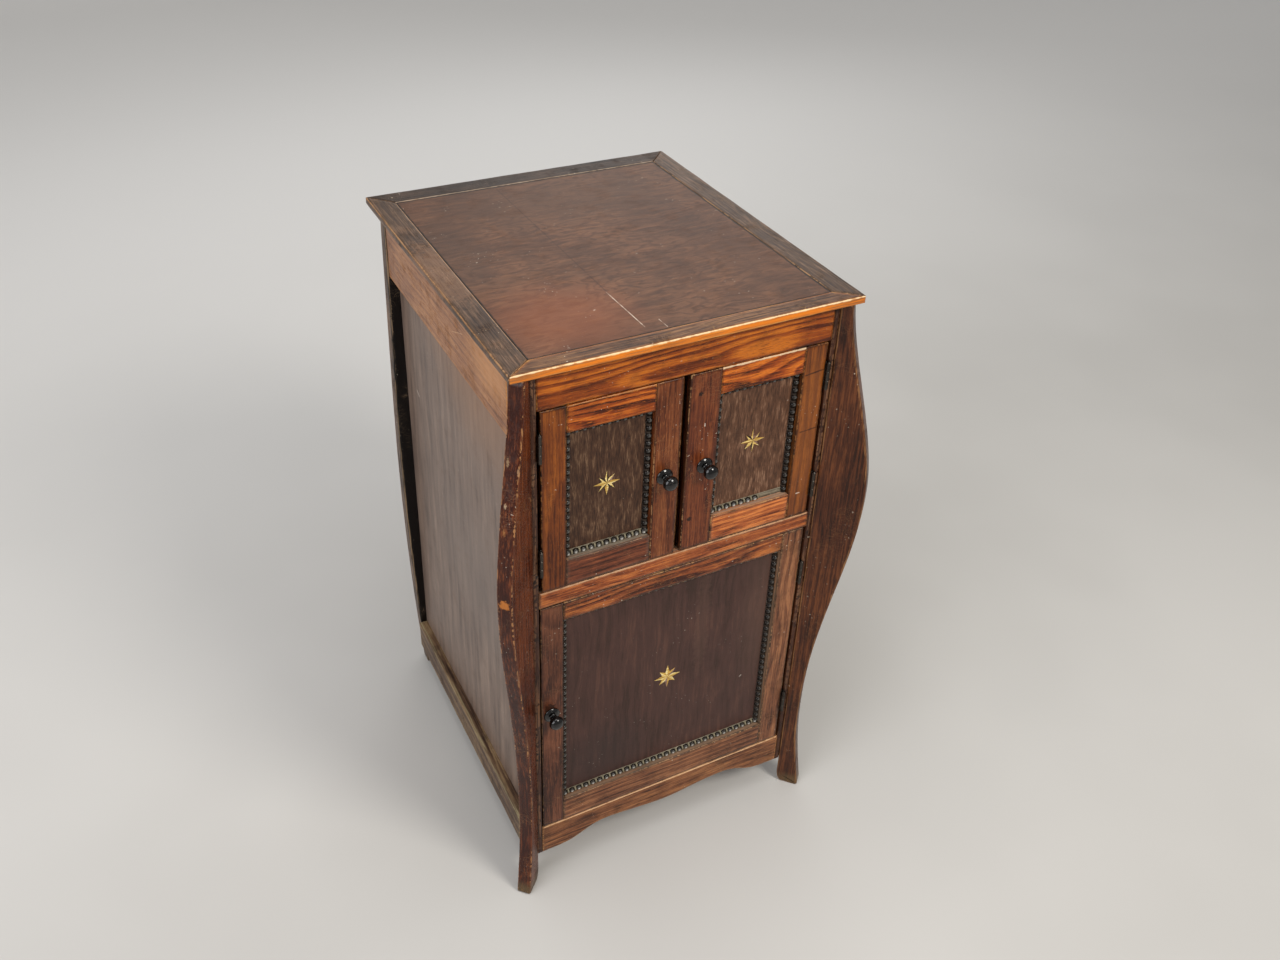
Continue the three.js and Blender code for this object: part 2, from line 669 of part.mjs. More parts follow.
function lidSideRail(sign) {
  const outline = (inner) => [
    [sign * lidX, -lidY + MITRE_GAP],
    [sign * lidX, lidY - MITRE_GAP],
    [sign * inner.x, inner.y1 - MITRE_GAP],
    [sign * inner.x, inner.y0 + MITRE_GAP],
  ];
  return join(slab(outline(lidInner), 0, LID_THICK), slab(outline(lidLip), 0, LID_LIP_THICK));
}

function lidEndRail(edge, pick) {
  const outline = (inner) => [
    [-lidX, edge],
    [lidX, edge],
    [inner.x, pick(inner)],
    [-inner.x, pick(inner)],
  ];
  return join(slab(outline(lidInner), 0, LID_THICK), slab(outline(lidLip), 0, LID_LIP_THICK));
}

const lidMovingLeaves = SIDES.map(([, sign]) => lidHinge(lidMovingLeaf, sign).translate(0, 0, -lidUnder));
for (const [word, sign] of SIDES) {
  place(`lid_${word}_rail`, lidSideRail(sign), OAK_TOP, lid);
}
place('lid_front_rail', lidEndRail(-lidY, (inner) => inner.y0), OAK_TOP, lid);
place('lid_back_rail', join(lidEndRail(lidY, (inner) => inner.y1), ...lidMovingLeaves), OAK_TOP, lid);
place('lid_panel', span(
  -lidInner.x + SEAT, lidInner.x - SEAT, lidInner.y0 + SEAT, lidInner.y1 - SEAT,
  LID_LIP_THICK + SEAT, LID_THICK - LID_PANEL_SUNK), PLY_TOP, lid);

// ---- lid stay: a quadrant round the lid's hinge line that slides through a guide on the side
const stayX = -(side - OAK) + 5;

function lidStay() {
  const inner = STAY_RADIUS - STAY_WIDTH / 2;
  const outer = STAY_RADIUS + STAY_WIDTH / 2;
  const from = Math.PI + THREE.MathUtils.degToRad(STAY_FROM_DEG);
  const to = Math.PI + THREE.MathUtils.degToRad(STAY_TO_DEG);
  const shape = new THREE.Shape();
  shape.absarc(0, 0, outer, from, to, false);
  shape.absarc(0, 0, inner, to, from, true);
  const solid = thick(shape, STAY_THICK, 16).applyMatrix4(onItsSide).translate(stayX, 0, 0);
  const [y0, y1] = [-outer - STAY_WIDTH, -inner + STAY_WIDTH];
  const foot = span(stayX, stayX + STAY_THICK, y0, y1, -STAY_WIDTH, HINGE_FORWARD);
  const tab = span(stayX, stayX + 1.5 * STAY_WIDTH, y0, y1, HINGE_FORWARD - STAY_THICK, HINGE_FORWARD);
  return join(solid, foot, tab);
}
place('lid_stay', lidStay().translate(0, lidHingeY, lidHingeZ - lidUnder), STEEL, lid);

function stayGuide() {
  const angle = THREE.MathUtils.degToRad(STAY_GUIDE_DEG);
  const y = lidHingeY - STAY_RADIUS * Math.cos(angle);
  const z = lidHingeZ - STAY_RADIUS * Math.sin(angle);
  const wall = -(side - OAK);
  const [halfDepth, halfHeight, cheek] = [10, 5, 4];
  const [freeX, freeY] = [2 * RUN, 6 * RUN + STAY_WIDTH / 2];
  const block = span(
    wall, stayX + STAY_THICK + cheek, y - halfDepth, y + halfDepth, z - halfHeight, z + halfHeight);
  const slot = span(
    stayX - freeX, stayX + STAY_THICK + freeX, y - freeY, y + freeY,
    z - halfHeight - PAST, z + halfHeight + PAST);
  return cut(block, slot);
}
place('stay_guide', stayGuide(), STEEL);

// ---- doors
function starOutline(long) {
  const shape = new THREE.Shape();
  const points = 16;
  for (let index = 0; index < points; index += 1) {
    const angle = index * 2 * Math.PI / points;
    const tip = index % 4 === 0 ? 1 : STAR_DIAGONAL;
    const reach = long * (index % 2 === 0 ? tip : STAR_WAIST);
    const corner = [reach * Math.cos(angle), reach * Math.sin(angle)];
    if (index === 0) {
      shape.moveTo(...corner);
    } else {
      shape.lineTo(...corner);
    }
  }
  return shape;
}

const knobProfile = [
  [0, 0], [KNOB_ROSE, 0], [KNOB_ROSE, 2], [KNOB_ROSE - 3, 4.5], [5.2, 6.5], [4.6, 10], [6, 12.5],
  [KNOB_RADIUS - 1.5, 15.5], [KNOB_RADIUS, 19.5], [KNOB_RADIUS - 1.5, 23.5], [6, KNOB_REACH - 1],
  [0, KNOB_REACH]];

// A door hangs on its hinge edge at x = 0 and reaches to sign * width; its front face is y = 0.
function hangDoor(name, door) {
  const { sign, bottom, width, height } = door;
  const group = nest(cabinet, -sign * hingeEdge, front, bottom);
  const [x0, x1] = [HINGE_STILE, width - door.latchStile];
  const [z0, z1] = [door.bottomRail, height - door.topRail];
  const middle = [sign * (x0 + x1) / 2, (z0 + z1) / 2];
  const panel = (grow) => span(
    sign * (x0 - grow), sign * (x1 + grow), PANEL_SUNK, PANEL_SUNK + PLY, z0 - grow, z1 + grow);
  const groove = span(
    sign * (x0 - PANEL_TONGUE - SEAT), sign * (x1 + PANEL_TONGUE + SEAT),
    PANEL_SUNK - SEAT, PANEL_SUNK + PLY + SEAT, z0 - PANEL_TONGUE - SEAT, z1 + PANEL_TONGUE + SEAT);
  const hole = span(sign * x0, sign * x1, -PAST, OAK + PAST, z0, z1);
  const lap = span(
    sign * (width - door.lap), sign * (width + PAST), -PAST, MEETING_REBATE_DEPTH, -PAST, height + PAST);
  const tools = door.lap > 0 ? [hole, groove, lap] : [hole, groove];
  const frame = cut(span(0, sign * width, 0, OAK, 0, height), ...tools);
  const leaves = hingeLevels(door).map((level) => movingLeaf(sign).translate(
    -sign * HINGE_GAP / 2, -HINGE_FORWARD, level));
  place(`${name}_frame`, join(frame, ...leaves), OAK_FRONT, group);
  place(`${name}_panel`, panel(PANEL_TONGUE), PLY_PANEL, group);

  const beadFront = PANEL_SUNK - BEAD_DEPTH;
  const bead = (inset, past) => span(
    sign * (x0 + inset), sign * (x1 - inset), beadFront - past, PANEL_SUNK + past, z0 + inset, z1 - inset);
  place(`${name}_beading`, cut(bead(0, 0), bead(BEAD_WIDTH, PAST)), BEADING, group);

  const star = thick(starOutline(door.star.reach), STAR_THICK);
  const inlay = place(`${name}_star`, star.rotateX(Math.PI / 2), STAR, group);
  inlay.position.set(middle[0], PANEL_SUNK, middle[1] + door.star.up);
  const knob = place(`${name}_knob`, turned(knobProfile, 20).rotateX(Math.PI / 2), BLACK, group);
  knob.position.set(sign * (width - door.knob.in), 0, door.knob.z - bottom);
}

for (const [name, door] of Object.entries(DOORS)) {
  hangDoor(name, door);
}

// ---- turntable: the platter, its hub and the spindle that runs down into the motor
const turntable = nest(cabinet, 0, spindleY, 0);
const rimInner = PLATTER_RADIUS - 6;
const spindleFoot = motorPlateZ + MOTOR_PLATE + RUN;
place('turntable', turned([
  [0, spindleFoot], [SPINDLE_RADIUS, spindleFoot], [SPINDLE_RADIUS, motorTopZ + 2], [14, motorTopZ + 2],
  [14, platterTopZ - 8], [rimInner, platterTopZ - 8], [rimInner, platterTopZ - PLATTER_RIM],
  [PLATTER_RADIUS, platterTopZ - PLATTER_RIM], [PLATTER_RADIUS, platterTopZ], [3.6, platterTopZ],
  [3.4, platterTopZ + 8], [0, platterTopZ + 9]], 40), NICKEL, turntable);

const mat = rod([0, 0, platterTopZ], [0, 0, platterTopZ + MAT], PLATTER_RADIUS - 3, 40);
const matHole = rod([0, 0, platterTopZ - PAST], [0, 0, platterTopZ + MAT + PAST], SPINDLE_RADIUS + RUN, 16);
place('turntable_mat', cut(mat, matHole), CLOTH, turntable);

// ---- spring motor under the board
const motorTop = motorUnderZ;
const bearingTop = motorPlateZ + MOTOR_PLATE;
const governorZ = motorTop - GOVERNOR_DROP;
const governorEnds = [-20, 60];
const motorX = [-100, 78];
const pillarInset = 8;

function motorFrame() {
  const plate = (z) => span(motorX[0], motorX[1], motorY[0], motorY[1], z, z + MOTOR_PLATE);
  const pillarAt = (x, y) => rod([x, y, motorPlateZ + 1], [x, y, motorTop - 1], 5, 12);
  const pillarX = [motorX[0] + pillarInset, motorX[1] - pillarInset];
  const pillarY = [motorY[0] + pillarInset, motorY[1] - pillarInset];
  const pillars = pillarX.flatMap((x) => pillarY.map((y) => pillarAt(x, y)));
  const bracket = (x0, x1) => span(x0, x1, governorY - 5, governorY + 5, bearingTop - 1, governorZ + 8);
  const [from, to] = governorEnds;
  const ends = [bracket(from - 4, from - RUN), bracket(to + RUN, to + 4)];
  const [lugX, lugHalf] = [motorX[1] - LUG_INSET, CRANK_GEAR + 1];
  const lug = span(lugX, lugX + 4, crankY - lugHalf, crankY + lugHalf, crankZ - lugHalf, motorTop - 1);
  const frame = join(plate(motorPlateZ), plate(motorTop - MOTOR_PLATE), ...pillars, ...ends, lug);
  const shaftHole = rod(
    [lugX - PAST, crankY, crankZ], [lugX + 4 + PAST, crankY, crankZ], CRANK_SHAFT + RUN, 24);
  const plateBelow = motorTop - MOTOR_PLATE - PAST;
  const topHole = rod([0, spindleY, plateBelow], [0, spindleY, motorTop + PAST], SPINDLE_RADIUS + RUN, 24);
  return cut(frame, shaftHole, topHole);
}
place('motor_frame', motorFrame(), STEEL);

const barrel = nest(cabinet, BARREL_X, (motorY[0] + motorY[1]) / 2, 0);
const barrelTop = motorTop - MOTOR_PLATE - RUN;
place('spring_barrel', turned([
  [0, bearingTop + RUN], [5, bearingTop + RUN], [5, bearingTop + 4], [BARREL_RADIUS, bearingTop + 4],
  [BARREL_RADIUS, barrelTop - 14], [BARREL_RADIUS + 3, barrelTop - 14], [BARREL_RADIUS + 3, barrelTop - 9],
  [5, barrelTop - 9], [5, barrelTop], [0, barrelTop]], 40), STEEL, barrel);

// The governor: three weights on flat springs round a shaft.
function governor() {
  const [from, to] = governorEnds;
  const shaft = rod([from, 0, 0], [to, 0, 0], 2.5, 12);
  const collars = [from + 8, to - 12].map((x) => rod([x, 0, 0], [x + 5, 0, 0], 8, 16));
  const weights = [0, 1, 2].flatMap((index) => {
    const arm = span(from + 9, to - 8, -3, 3, 6.5, 8);
    const weight = new THREE.SphereGeometry(6.5, 12, 8).translate((from + to) / 2, 0, 11);
    return [arm, weight].map((piece) => piece.rotateX(index * 2 * Math.PI / 3));
  });
  return join(shaft, ...collars, ...weights);
}
const governorGroup = nest(cabinet, 0, governorY, governorZ);
place('governor', governor(), NICKEL, governorGroup);

// ---- tonearm: a swivelling tube over the horn's throat
const sleeve = SPIGOT_RADIUS + RUN;
const basePlate = [[sleeve, 0], [28, 0], [28, 3], [18, 6], [18, 13], [sleeve, 13], [sleeve, 0]];
const tonearmBase = place('tonearm_base', turned(basePlate, 24), NICKEL);
tonearmBase.position.set(TONEARM_X, tonearmY, motorTopZ);

const tonearm = nest(cabinet, TONEARM_X, tonearmY, motorTopZ);
tonearm.rotation.z = THREE.MathUtils.degToRad(TONEARM_PARK_DEG);

function tonearmTube() {
  const path = new THREE.CatmullRomCurve3([
    new THREE.Vector3(0, 0, 13),
    new THREE.Vector3(0, 0, 34),
    new THREE.Vector3(0, -12, 53),
    new THREE.Vector3(0, -40, TONEARM_RISE),
    new THREE.Vector3(0, -TONEARM_LENGTH + 50, TONEARM_RISE),
    new THREE.Vector3(0, -TONEARM_LENGTH + 14, TONEARM_RISE),
    new THREE.Vector3(-ELBOW / 2, -TONEARM_LENGTH + 2, TONEARM_RISE),
    new THREE.Vector3(-ELBOW - 3, -TONEARM_LENGTH, TONEARM_RISE),
  ]);
  const section = new THREE.Shape().absarc(0, 0, TONEARM_RADIUS, 0, 2 * Math.PI, false);
  const settings = { extrudePath: path, steps: 24, curveSegments: 6, bevelEnabled: false };
  return new THREE.ExtrudeGeometry(section, settings);
}
const spigot = turned([
  [0, SEAT], [SPIGOT_RADIUS, SEAT], [SPIGOT_RADIUS, 13 + RUN], [17, 13 + RUN], [17, 19], [12, 24],
  [0, 24]], 24);
const elbowEnd = span(
  -ELBOW - 20, -ELBOW, -TONEARM_LENGTH - 20, -TONEARM_LENGTH + 20, TONEARM_RISE - 20, TONEARM_RISE + 20);
place('tonearm', cut(join(tonearmTube(), spigot), elbowEnd), NICKEL, tonearm);

// The soundbox turns on the elbow's end, so that the needle can be lifted and changed.
const soundbox = nest(tonearm, -ELBOW - RUN, -TONEARM_LENGTH, TONEARM_RISE);

function soundboxBody() {
  const half = SOUNDBOX_RADIUS;
  const disc = turned([
    [0, 0], [9, 0], [9, 2], [half - 3, 3], [half, 5], [half, 11], [half - 4, SOUNDBOX_THICK],
    [half - 6, SOUNDBOX_THICK - 3], [0, SOUNDBOX_THICK - 3]], 32);
  disc.rotateY(-Math.PI / 2);
  const middle = -SOUNDBOX_THICK / 2;
  const chuck = span(middle - 3, middle + 3, -4, 4, -half - 4, -half + 3);
  const needle = rod([middle, 0, -half], [middle, 0, -NEEDLE_REACH], 1.4, 8, 0.3);
  return join(disc, chuck, needle);
}
place('soundbox', soundboxBody(), NICKEL, soundbox);

// ---- brake and speed levers on the motor board
const brakeReach = Math.hypot(LEVER_X, leverY - spindleY);
const padRadius = 4;
const padAt = brakeReach - PLATTER_RADIUS - padRadius - SEAT;
const brake = nest(cabinet, -LEVER_X, leverY, motorTopZ);
brake.rotation.z = Math.atan2(spindleY - leverY, LEVER_X);
const brakeZ = PLATTER_TOP - 9;
place('brake_lever', join(
  rod([0, 0, RUN], [0, 0, brakeZ + 5], 5, 16),
  span(-30, padAt, -4, 4, brakeZ, brakeZ + LEVER_THICK),
  rod([padAt, 0, brakeZ - 2], [padAt, 0, brakeZ + 6], padRadius, 16),
  rod([-30, 0, brakeZ - 1], [-30, 0, brakeZ + 12], 5, 16)), NICKEL, brake);

const speed = nest(cabinet, LEVER_X, leverY, motorTopZ);
place('speed_lever', join(
  rod([0, 0, RUN], [0, 0, 7], 8, 20),
  span(-2.5, 2.5, -2, SPEED_LEVER, 2, 2 + LEVER_THICK),
  rod([0, SPEED_LEVER, 1.5], [0, SPEED_LEVER, 12], 4.5, 16)), NICKEL, speed);

// ---- winding crank on the right-hand side
const crank = nest(cabinet, 0, crankY, crankZ);
const armIn = side + CRANK_ARM_OUT;
const armOut = armIn + CRANK_ARM_THICK;
const gearBack = motorX[1] - LUG_INSET - 20;
const gripEnd = bowReachX - 1;
const gripLength = gripEnd - armOut;
const grip = turned([
  [0, 0], [6, 0], [6, 2], [CRANK_GRIP - 2, gripLength * 0.3], [CRANK_GRIP, gripLength * 0.65],
  [CRANK_GRIP - 3, gripLength - 2], [0, gripLength]], 20).rotateY(Math.PI / 2);
const crankArm = join(
  rod([gearBack + CRANK_GEAR_LONG / 2, 0, 0], [armOut, 0, 0], CRANK_SHAFT, 24),
  rod([gearBack, 0, 0], [gearBack + CRANK_GEAR_LONG, 0, 0], CRANK_GEAR / 2, 20, CRANK_GEAR),
  rod([armIn, 0, 0], [armOut + 2, 0, 0], CRANK_HUB, 20),
  span(armIn, armOut, -CRANK_ARM_THICK, CRANK_ARM_THICK, -CRANK_RADIUS - CRANK_ARM_THICK, 0));
place('crank', crankArm, IRON, crank);
place('crank_grip', grip.translate(armOut, 0, -CRANK_RADIUS), BLACK, crank);

const bushBore = CRANK_SHAFT + RUN;
const escutcheon = turned([
  [bushBore, 0], [bushRadius, 0], [bushRadius, PLY], [ESCUTCHEON, PLY], [ESCUTCHEON, PLY + 2.5],
  [bushRadius + 2, PLY + 5], [bushRadius, PLY + ESCUTCHEON_COLLAR], [bushBore, PLY + ESCUTCHEON_COLLAR],
  [bushBore, 0]], 24).rotateY(Math.PI / 2);
const escutcheonMesh = place('crank_escutcheon', escutcheon, NICKEL);
escutcheonMesh.position.set(panelIn, crankY, crankZ);

// ---- the origin is under the middle of the whole outline
cabinet.position.y = -(bowReachY + TOP_DEPTH / 2) / 2;

export default cabinet;
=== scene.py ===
"""Looks of the gramophone cabinet: every board, bead, hinge and knob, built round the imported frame.

Lengths are in millimetres here and become metres where a mesh is written. X runs along the front,
Y from the front to the back and Z up.
"""
import json
import math
import random

import bmesh
import bpy
from mathutils import Matrix, Vector, noise

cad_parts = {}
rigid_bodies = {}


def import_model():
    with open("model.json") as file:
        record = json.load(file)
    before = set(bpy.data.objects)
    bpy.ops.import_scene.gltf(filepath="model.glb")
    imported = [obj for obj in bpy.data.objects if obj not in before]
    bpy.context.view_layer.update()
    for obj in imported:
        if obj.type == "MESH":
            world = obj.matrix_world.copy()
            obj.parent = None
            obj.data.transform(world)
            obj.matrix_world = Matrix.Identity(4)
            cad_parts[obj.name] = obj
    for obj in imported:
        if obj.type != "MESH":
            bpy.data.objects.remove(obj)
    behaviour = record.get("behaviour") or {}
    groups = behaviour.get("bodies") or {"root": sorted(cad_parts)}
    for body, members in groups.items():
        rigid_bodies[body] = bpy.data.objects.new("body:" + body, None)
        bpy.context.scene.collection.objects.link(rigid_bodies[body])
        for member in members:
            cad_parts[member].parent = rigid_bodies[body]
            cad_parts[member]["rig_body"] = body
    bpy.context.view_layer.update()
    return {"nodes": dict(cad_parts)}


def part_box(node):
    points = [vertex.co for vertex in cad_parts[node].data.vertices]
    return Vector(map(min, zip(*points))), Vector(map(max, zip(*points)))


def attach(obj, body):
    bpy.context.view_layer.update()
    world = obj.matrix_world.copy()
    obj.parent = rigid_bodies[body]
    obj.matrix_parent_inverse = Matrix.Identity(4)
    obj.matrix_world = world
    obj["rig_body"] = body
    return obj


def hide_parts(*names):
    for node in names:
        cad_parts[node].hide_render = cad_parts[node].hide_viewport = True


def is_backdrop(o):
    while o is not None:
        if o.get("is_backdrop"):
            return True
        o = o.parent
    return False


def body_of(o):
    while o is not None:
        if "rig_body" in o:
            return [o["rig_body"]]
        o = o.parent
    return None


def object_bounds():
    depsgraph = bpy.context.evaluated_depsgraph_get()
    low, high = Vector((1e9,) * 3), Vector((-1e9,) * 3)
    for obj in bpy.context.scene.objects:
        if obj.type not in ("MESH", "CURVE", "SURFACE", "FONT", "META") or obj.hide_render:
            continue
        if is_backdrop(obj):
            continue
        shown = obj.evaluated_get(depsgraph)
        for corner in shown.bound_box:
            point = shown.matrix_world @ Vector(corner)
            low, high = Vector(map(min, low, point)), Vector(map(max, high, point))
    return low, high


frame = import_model()

MM = 0.001
EASE = 1.1
RIM = 6.0
TURN = 2 * math.pi
AXES = X, Y, Z = Vector((1, 0, 0)), Vector((0, 1, 0)), Vector((0, 0, 1))
OUT = Vector((0, -1, 0))


def extent(node):
    """A CAD node's lowest and highest corner, in millimetres."""
    low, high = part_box(node)
    return low / MM, high / MM


# ---- the sizes that several pieces share, from the frame

post_low = extent("corner_post_left")[0]
rail_low, rail_high = extent("front_top_rail")
FRONT = rail_low.y
RAIL_BACK = rail_high.y
OPENING = rail_high.x
TOP = rail_high.z
SIDE = -post_low.x
HINGE_GAP = 4.5
LEAF = 1.5
LEAF_DEEP = 16.0
HINGE_TALL = 40.0
KNUCKLE = 2.8
PIN = 1.2
PIN_PROUD = 0.9
KNUCKLE_GAP = 0.15
PIN_X = OPENING - HINGE_GAP / 2
PIN_Y = FRONT - 3.0


# ---- node trees

def paint(code):
    """A colour written as in a paint chart, made linear."""
    parts = [int(code[i:i + 2], 16) / 255 for i in (1, 3, 5)]
    return [p / 12.92 if p <= 0.04045 else ((p + 0.055) / 1.055) ** 2.4 for p in parts] + [1.0]


class Value:
    """An output of a node. Adding, multiplying and so on with it adds a math node to its graph."""

    def __init__(self, graph, socket):
        self.graph = graph
        self.socket = socket

    def reckon(self, operation, a, b):
        single = self.socket.type == "VALUE"
        return (self.graph.math if single else self.graph.vector)(operation, a, b)

    def __add__(self, other):
        return self.reckon("ADD", self, other)

    def __sub__(self, other):
        return self.reckon("SUBTRACT", self, other)

    def __rsub__(self, other):
        return self.reckon("SUBTRACT", other, self)

    def __mul__(self, other):
        return self.reckon("MULTIPLY", self, other)

    def __truediv__(self, other):
        return self.reckon("DIVIDE", self, other)

    __radd__ = __add__


class Graph:
    """Adds nodes to one tree. An input takes a Value to link or a constant to set."""

    def __init__(self, tree):
        self.tree = tree

    def add(self, kind, inputs=None, **settings):
        node = self.tree.nodes.new(kind)
        for key, value in settings.items():
            setattr(node, key, value)
        for key, value in (inputs or {}).items():
            self.feed(node.inputs[key], value)
        return node

    def feed(self, socket, value):
        if isinstance(value, Value):
            self.tree.links.new(value.socket, socket)
        elif value is not None:
            socket.default_value = value

    def get(self, output, kind, inputs=None, **settings):
        """One output of a new node."""
        return Value(self, self.add(kind, inputs, **settings).outputs[output])

    def math(self, operation, a, b=None, clamp=False):
        return self.get(0, "ShaderNodeMath", {0: a, 1: b}, operation=operation, use_clamp=clamp)

    def vector(self, operation, a, b=None):
        output = "Value" if operation in ("LENGTH", "DOT_PRODUCT") else "Vector"
        return self.get(output, "ShaderNodeVectorMath", {0: a, 1: b}, operation=operation)

    def noise(self, vector, detail, rough, size):
        """Smooth noise from 0 to 1. Size is that of its blots in mm, or the three along the axes."""
        size = size if isinstance(size, tuple) else (size,) * 3
        scaled = vector * [1 / s for s in size]
        inputs = {"Vector": scaled, "Scale": 1.0, "Detail": detail, "Roughness": rough}
        return self.get(0, "ShaderNodeTexNoise", inputs)

    def band(self, value, low, high, start=0.0, end=1.0):
        inputs = {"Value": value, "From Min": low, "From Max": high, "To Min": start, "To Max": end}
        return self.get(0, "ShaderNodeMapRange", inputs, interpolation_type="SMOOTHSTEP")

    def mix(self, share, a, b, blend="MIX"):
        """A share of b over a. Either may be a paint code."""
        a, b = (paint(side) if isinstance(side, str) else side for side in (a, b))
        return self.get(2, "ShaderNodeMix", {0: share, 6: a, 7: b}, data_type="RGBA", blend_type=blend)

    def axes(self, vector):
        node = self.add("ShaderNodeSeparateXYZ", {0: vector})
        return [Value(self, socket) for socket in node.outputs[:3]]

    def join(self, x, y, z):
        return self.get(0, "ShaderNodeCombineXYZ", {0: x, 1: y, 2: z})

    def attribute(self, name, output="Fac"):
        return self.get(output, "ShaderNodeAttribute", attribute_name=name)

    def use(self, group, **inputs):
        """A group's outputs by name. An underscore stands for the space in an input's name."""
        node = self.add("ShaderNodeGroup", node_tree=group)
        for key, value in inputs.items():
            self.feed(node.inputs[key.replace("_", " ")], value)
        return {socket.name: Value(self, socket) for socket in node.outputs}


FLOAT = "NodeSocketFloat"
VECTOR = "NodeSocketVector"


def shader_group(name, inputs, outputs, make):
    """A named shader group. Make takes its graph and its inputs and gives what goes to its outputs."""
    tree = bpy.data.node_groups.new(name, "ShaderNodeTree")
    for label, kind in inputs.items():
        tree.interface.new_socket(label, in_out="INPUT", socket_type=kind)
    for label in outputs:
        tree.interface.new_socket(label, in_out="OUTPUT", socket_type=FLOAT)
    g = Graph(tree)
    given = g.add("NodeGroupInput").outputs
    found = make(g, *[Value(g, given[label]) for label in inputs])
    out = g.add("NodeGroupOutput").inputs
    for label, value in zip(outputs, found):
        g.feed(out[label], value)
    return tree


def oak_figure(g, grain, ring_gap):
    """Growth rings about a heart that wanders along the grain, with streaks, pores and light flecks."""
    wander = g.noise(grain, 1.0, 0.5, (260, 90, 90))
    sway = g.noise(grain, 2.0, 0.5, (120, 28, 28))
    y, z = g.axes(grain)[1:]
    across = y + (sway - 0.5) * 11.0
    below = z + (wander - 0.5) * 46.0
    saw = g.math("FRACT", g.vector("LENGTH", g.join(0.0, across, below)) / ring_gap)
    rings = g.band(saw, 0.0, 0.16) * g.band(saw, 1.0, 0.35)
    streaks = g.noise(grain, 3.0, 0.6, (75, 2.6, 2.6))
    fine = g.noise(grain, 2.0, 0.6, (17, 1.0, 1.0))
    pores = g.band(fine, 0.52, 0.68) * g.band(rings, 0.1, 0.7, 0.45, 1.0)
    flecks = g.noise(grain, 1.0, 0.5, (11, 1.3, 1.3))
    return rings, g.band(streaks, 0.28, 0.72), pores, g.band(flecks, 0.58, 0.7)


def arris_wear(g, arris, place, width, amount):
    """Where handling has rubbed the stain off an arris, and small chips beside it."""
    long = g.noise(place, 3.0, 0.6, 38)
    short = g.noise(place, 2.0, 0.6, 5)
    reach = width * g.band(long + amount, 0.5, 1.15, 0.05, 1.7)
    ragged = arris + (short - 0.5) * 1.3
    worn = 1.0 - g.band(ragged / reach, 0.25, 1.0)
    near = 1.0 - g.band(arris, 0.6, 4.5)
    spots = g.band(g.noise(place, 2.0, 0.7, 3.2), 0.62, 0.68)
    return worn, g.band(amount, 0.0, 0.3, 0.5, 1.0) * (near * spots)


def mottle(g, place):
    """Broad uneven patches of stain, the grime that settles in them, and fine dust."""
    patch = g.band(g.noise(place, 3.0, 0.55, 95), 0.3, 0.7)
    grime = g.band(g.noise(place, 4.0, 0.65, 30), 0.45, 0.75)
    dust = g.band(g.noise(place, 2.0, 0.6, 2.2), 0.56, 0.75)
    return patch, grime, dust


def handling_marks(g, place):
    """Hairline scratches at all angles and pale specks."""
    bend = g.get(1, "ShaderNodeTexNoise", {"Vector": place, "Scale": 0.02, "Detail": 2.0})
    bent = place + bend * (34, 34, 34)
    lines = []
    for direction in ((0.055, 0.4, 0.31), (0.35, 0.045, 0.4)):
        inputs = {"Vector": bent * direction, "Scale": 0.35}
        cells = g.get(0, "ShaderNodeTexVoronoi", inputs, feature="DISTANCE_TO_EDGE")
        lines.append(1.0 - g.band(cells, 0.0, 0.012))
    some = g.band(g.noise(place, 2.0, 0.5, 60), 0.52, 0.62)
    few = g.band(g.noise(place, 1.0, 0.5, 45), 0.55, 0.7)
    dots = g.band(g.noise(place, 1.0, 0.5, 3.4), 0.72, 0.76)
    return g.math("MAXIMUM", *lines) * some, few * dots


OAK_FIGURE = shader_group("oak figure", {"Grain": VECTOR, "Ring Gap": FLOAT},
                          ("Rings", "Streaks", "Pores", "Flecks"), oak_figure)
ARRIS_WEAR = shader_group(
    "arris wear", {"Arris": FLOAT, "Position": VECTOR, "Width": FLOAT, "Amount": FLOAT},
    ("Worn", "Chips"), arris_wear)
MOTTLE = shader_group("mottle", {"Position": VECTOR}, ("Patch", "Grime", "Dust"), mottle)
HANDLING = shader_group("handling marks", {"Position": VECTOR}, ("Scratches", "Specks"), handling_marks)


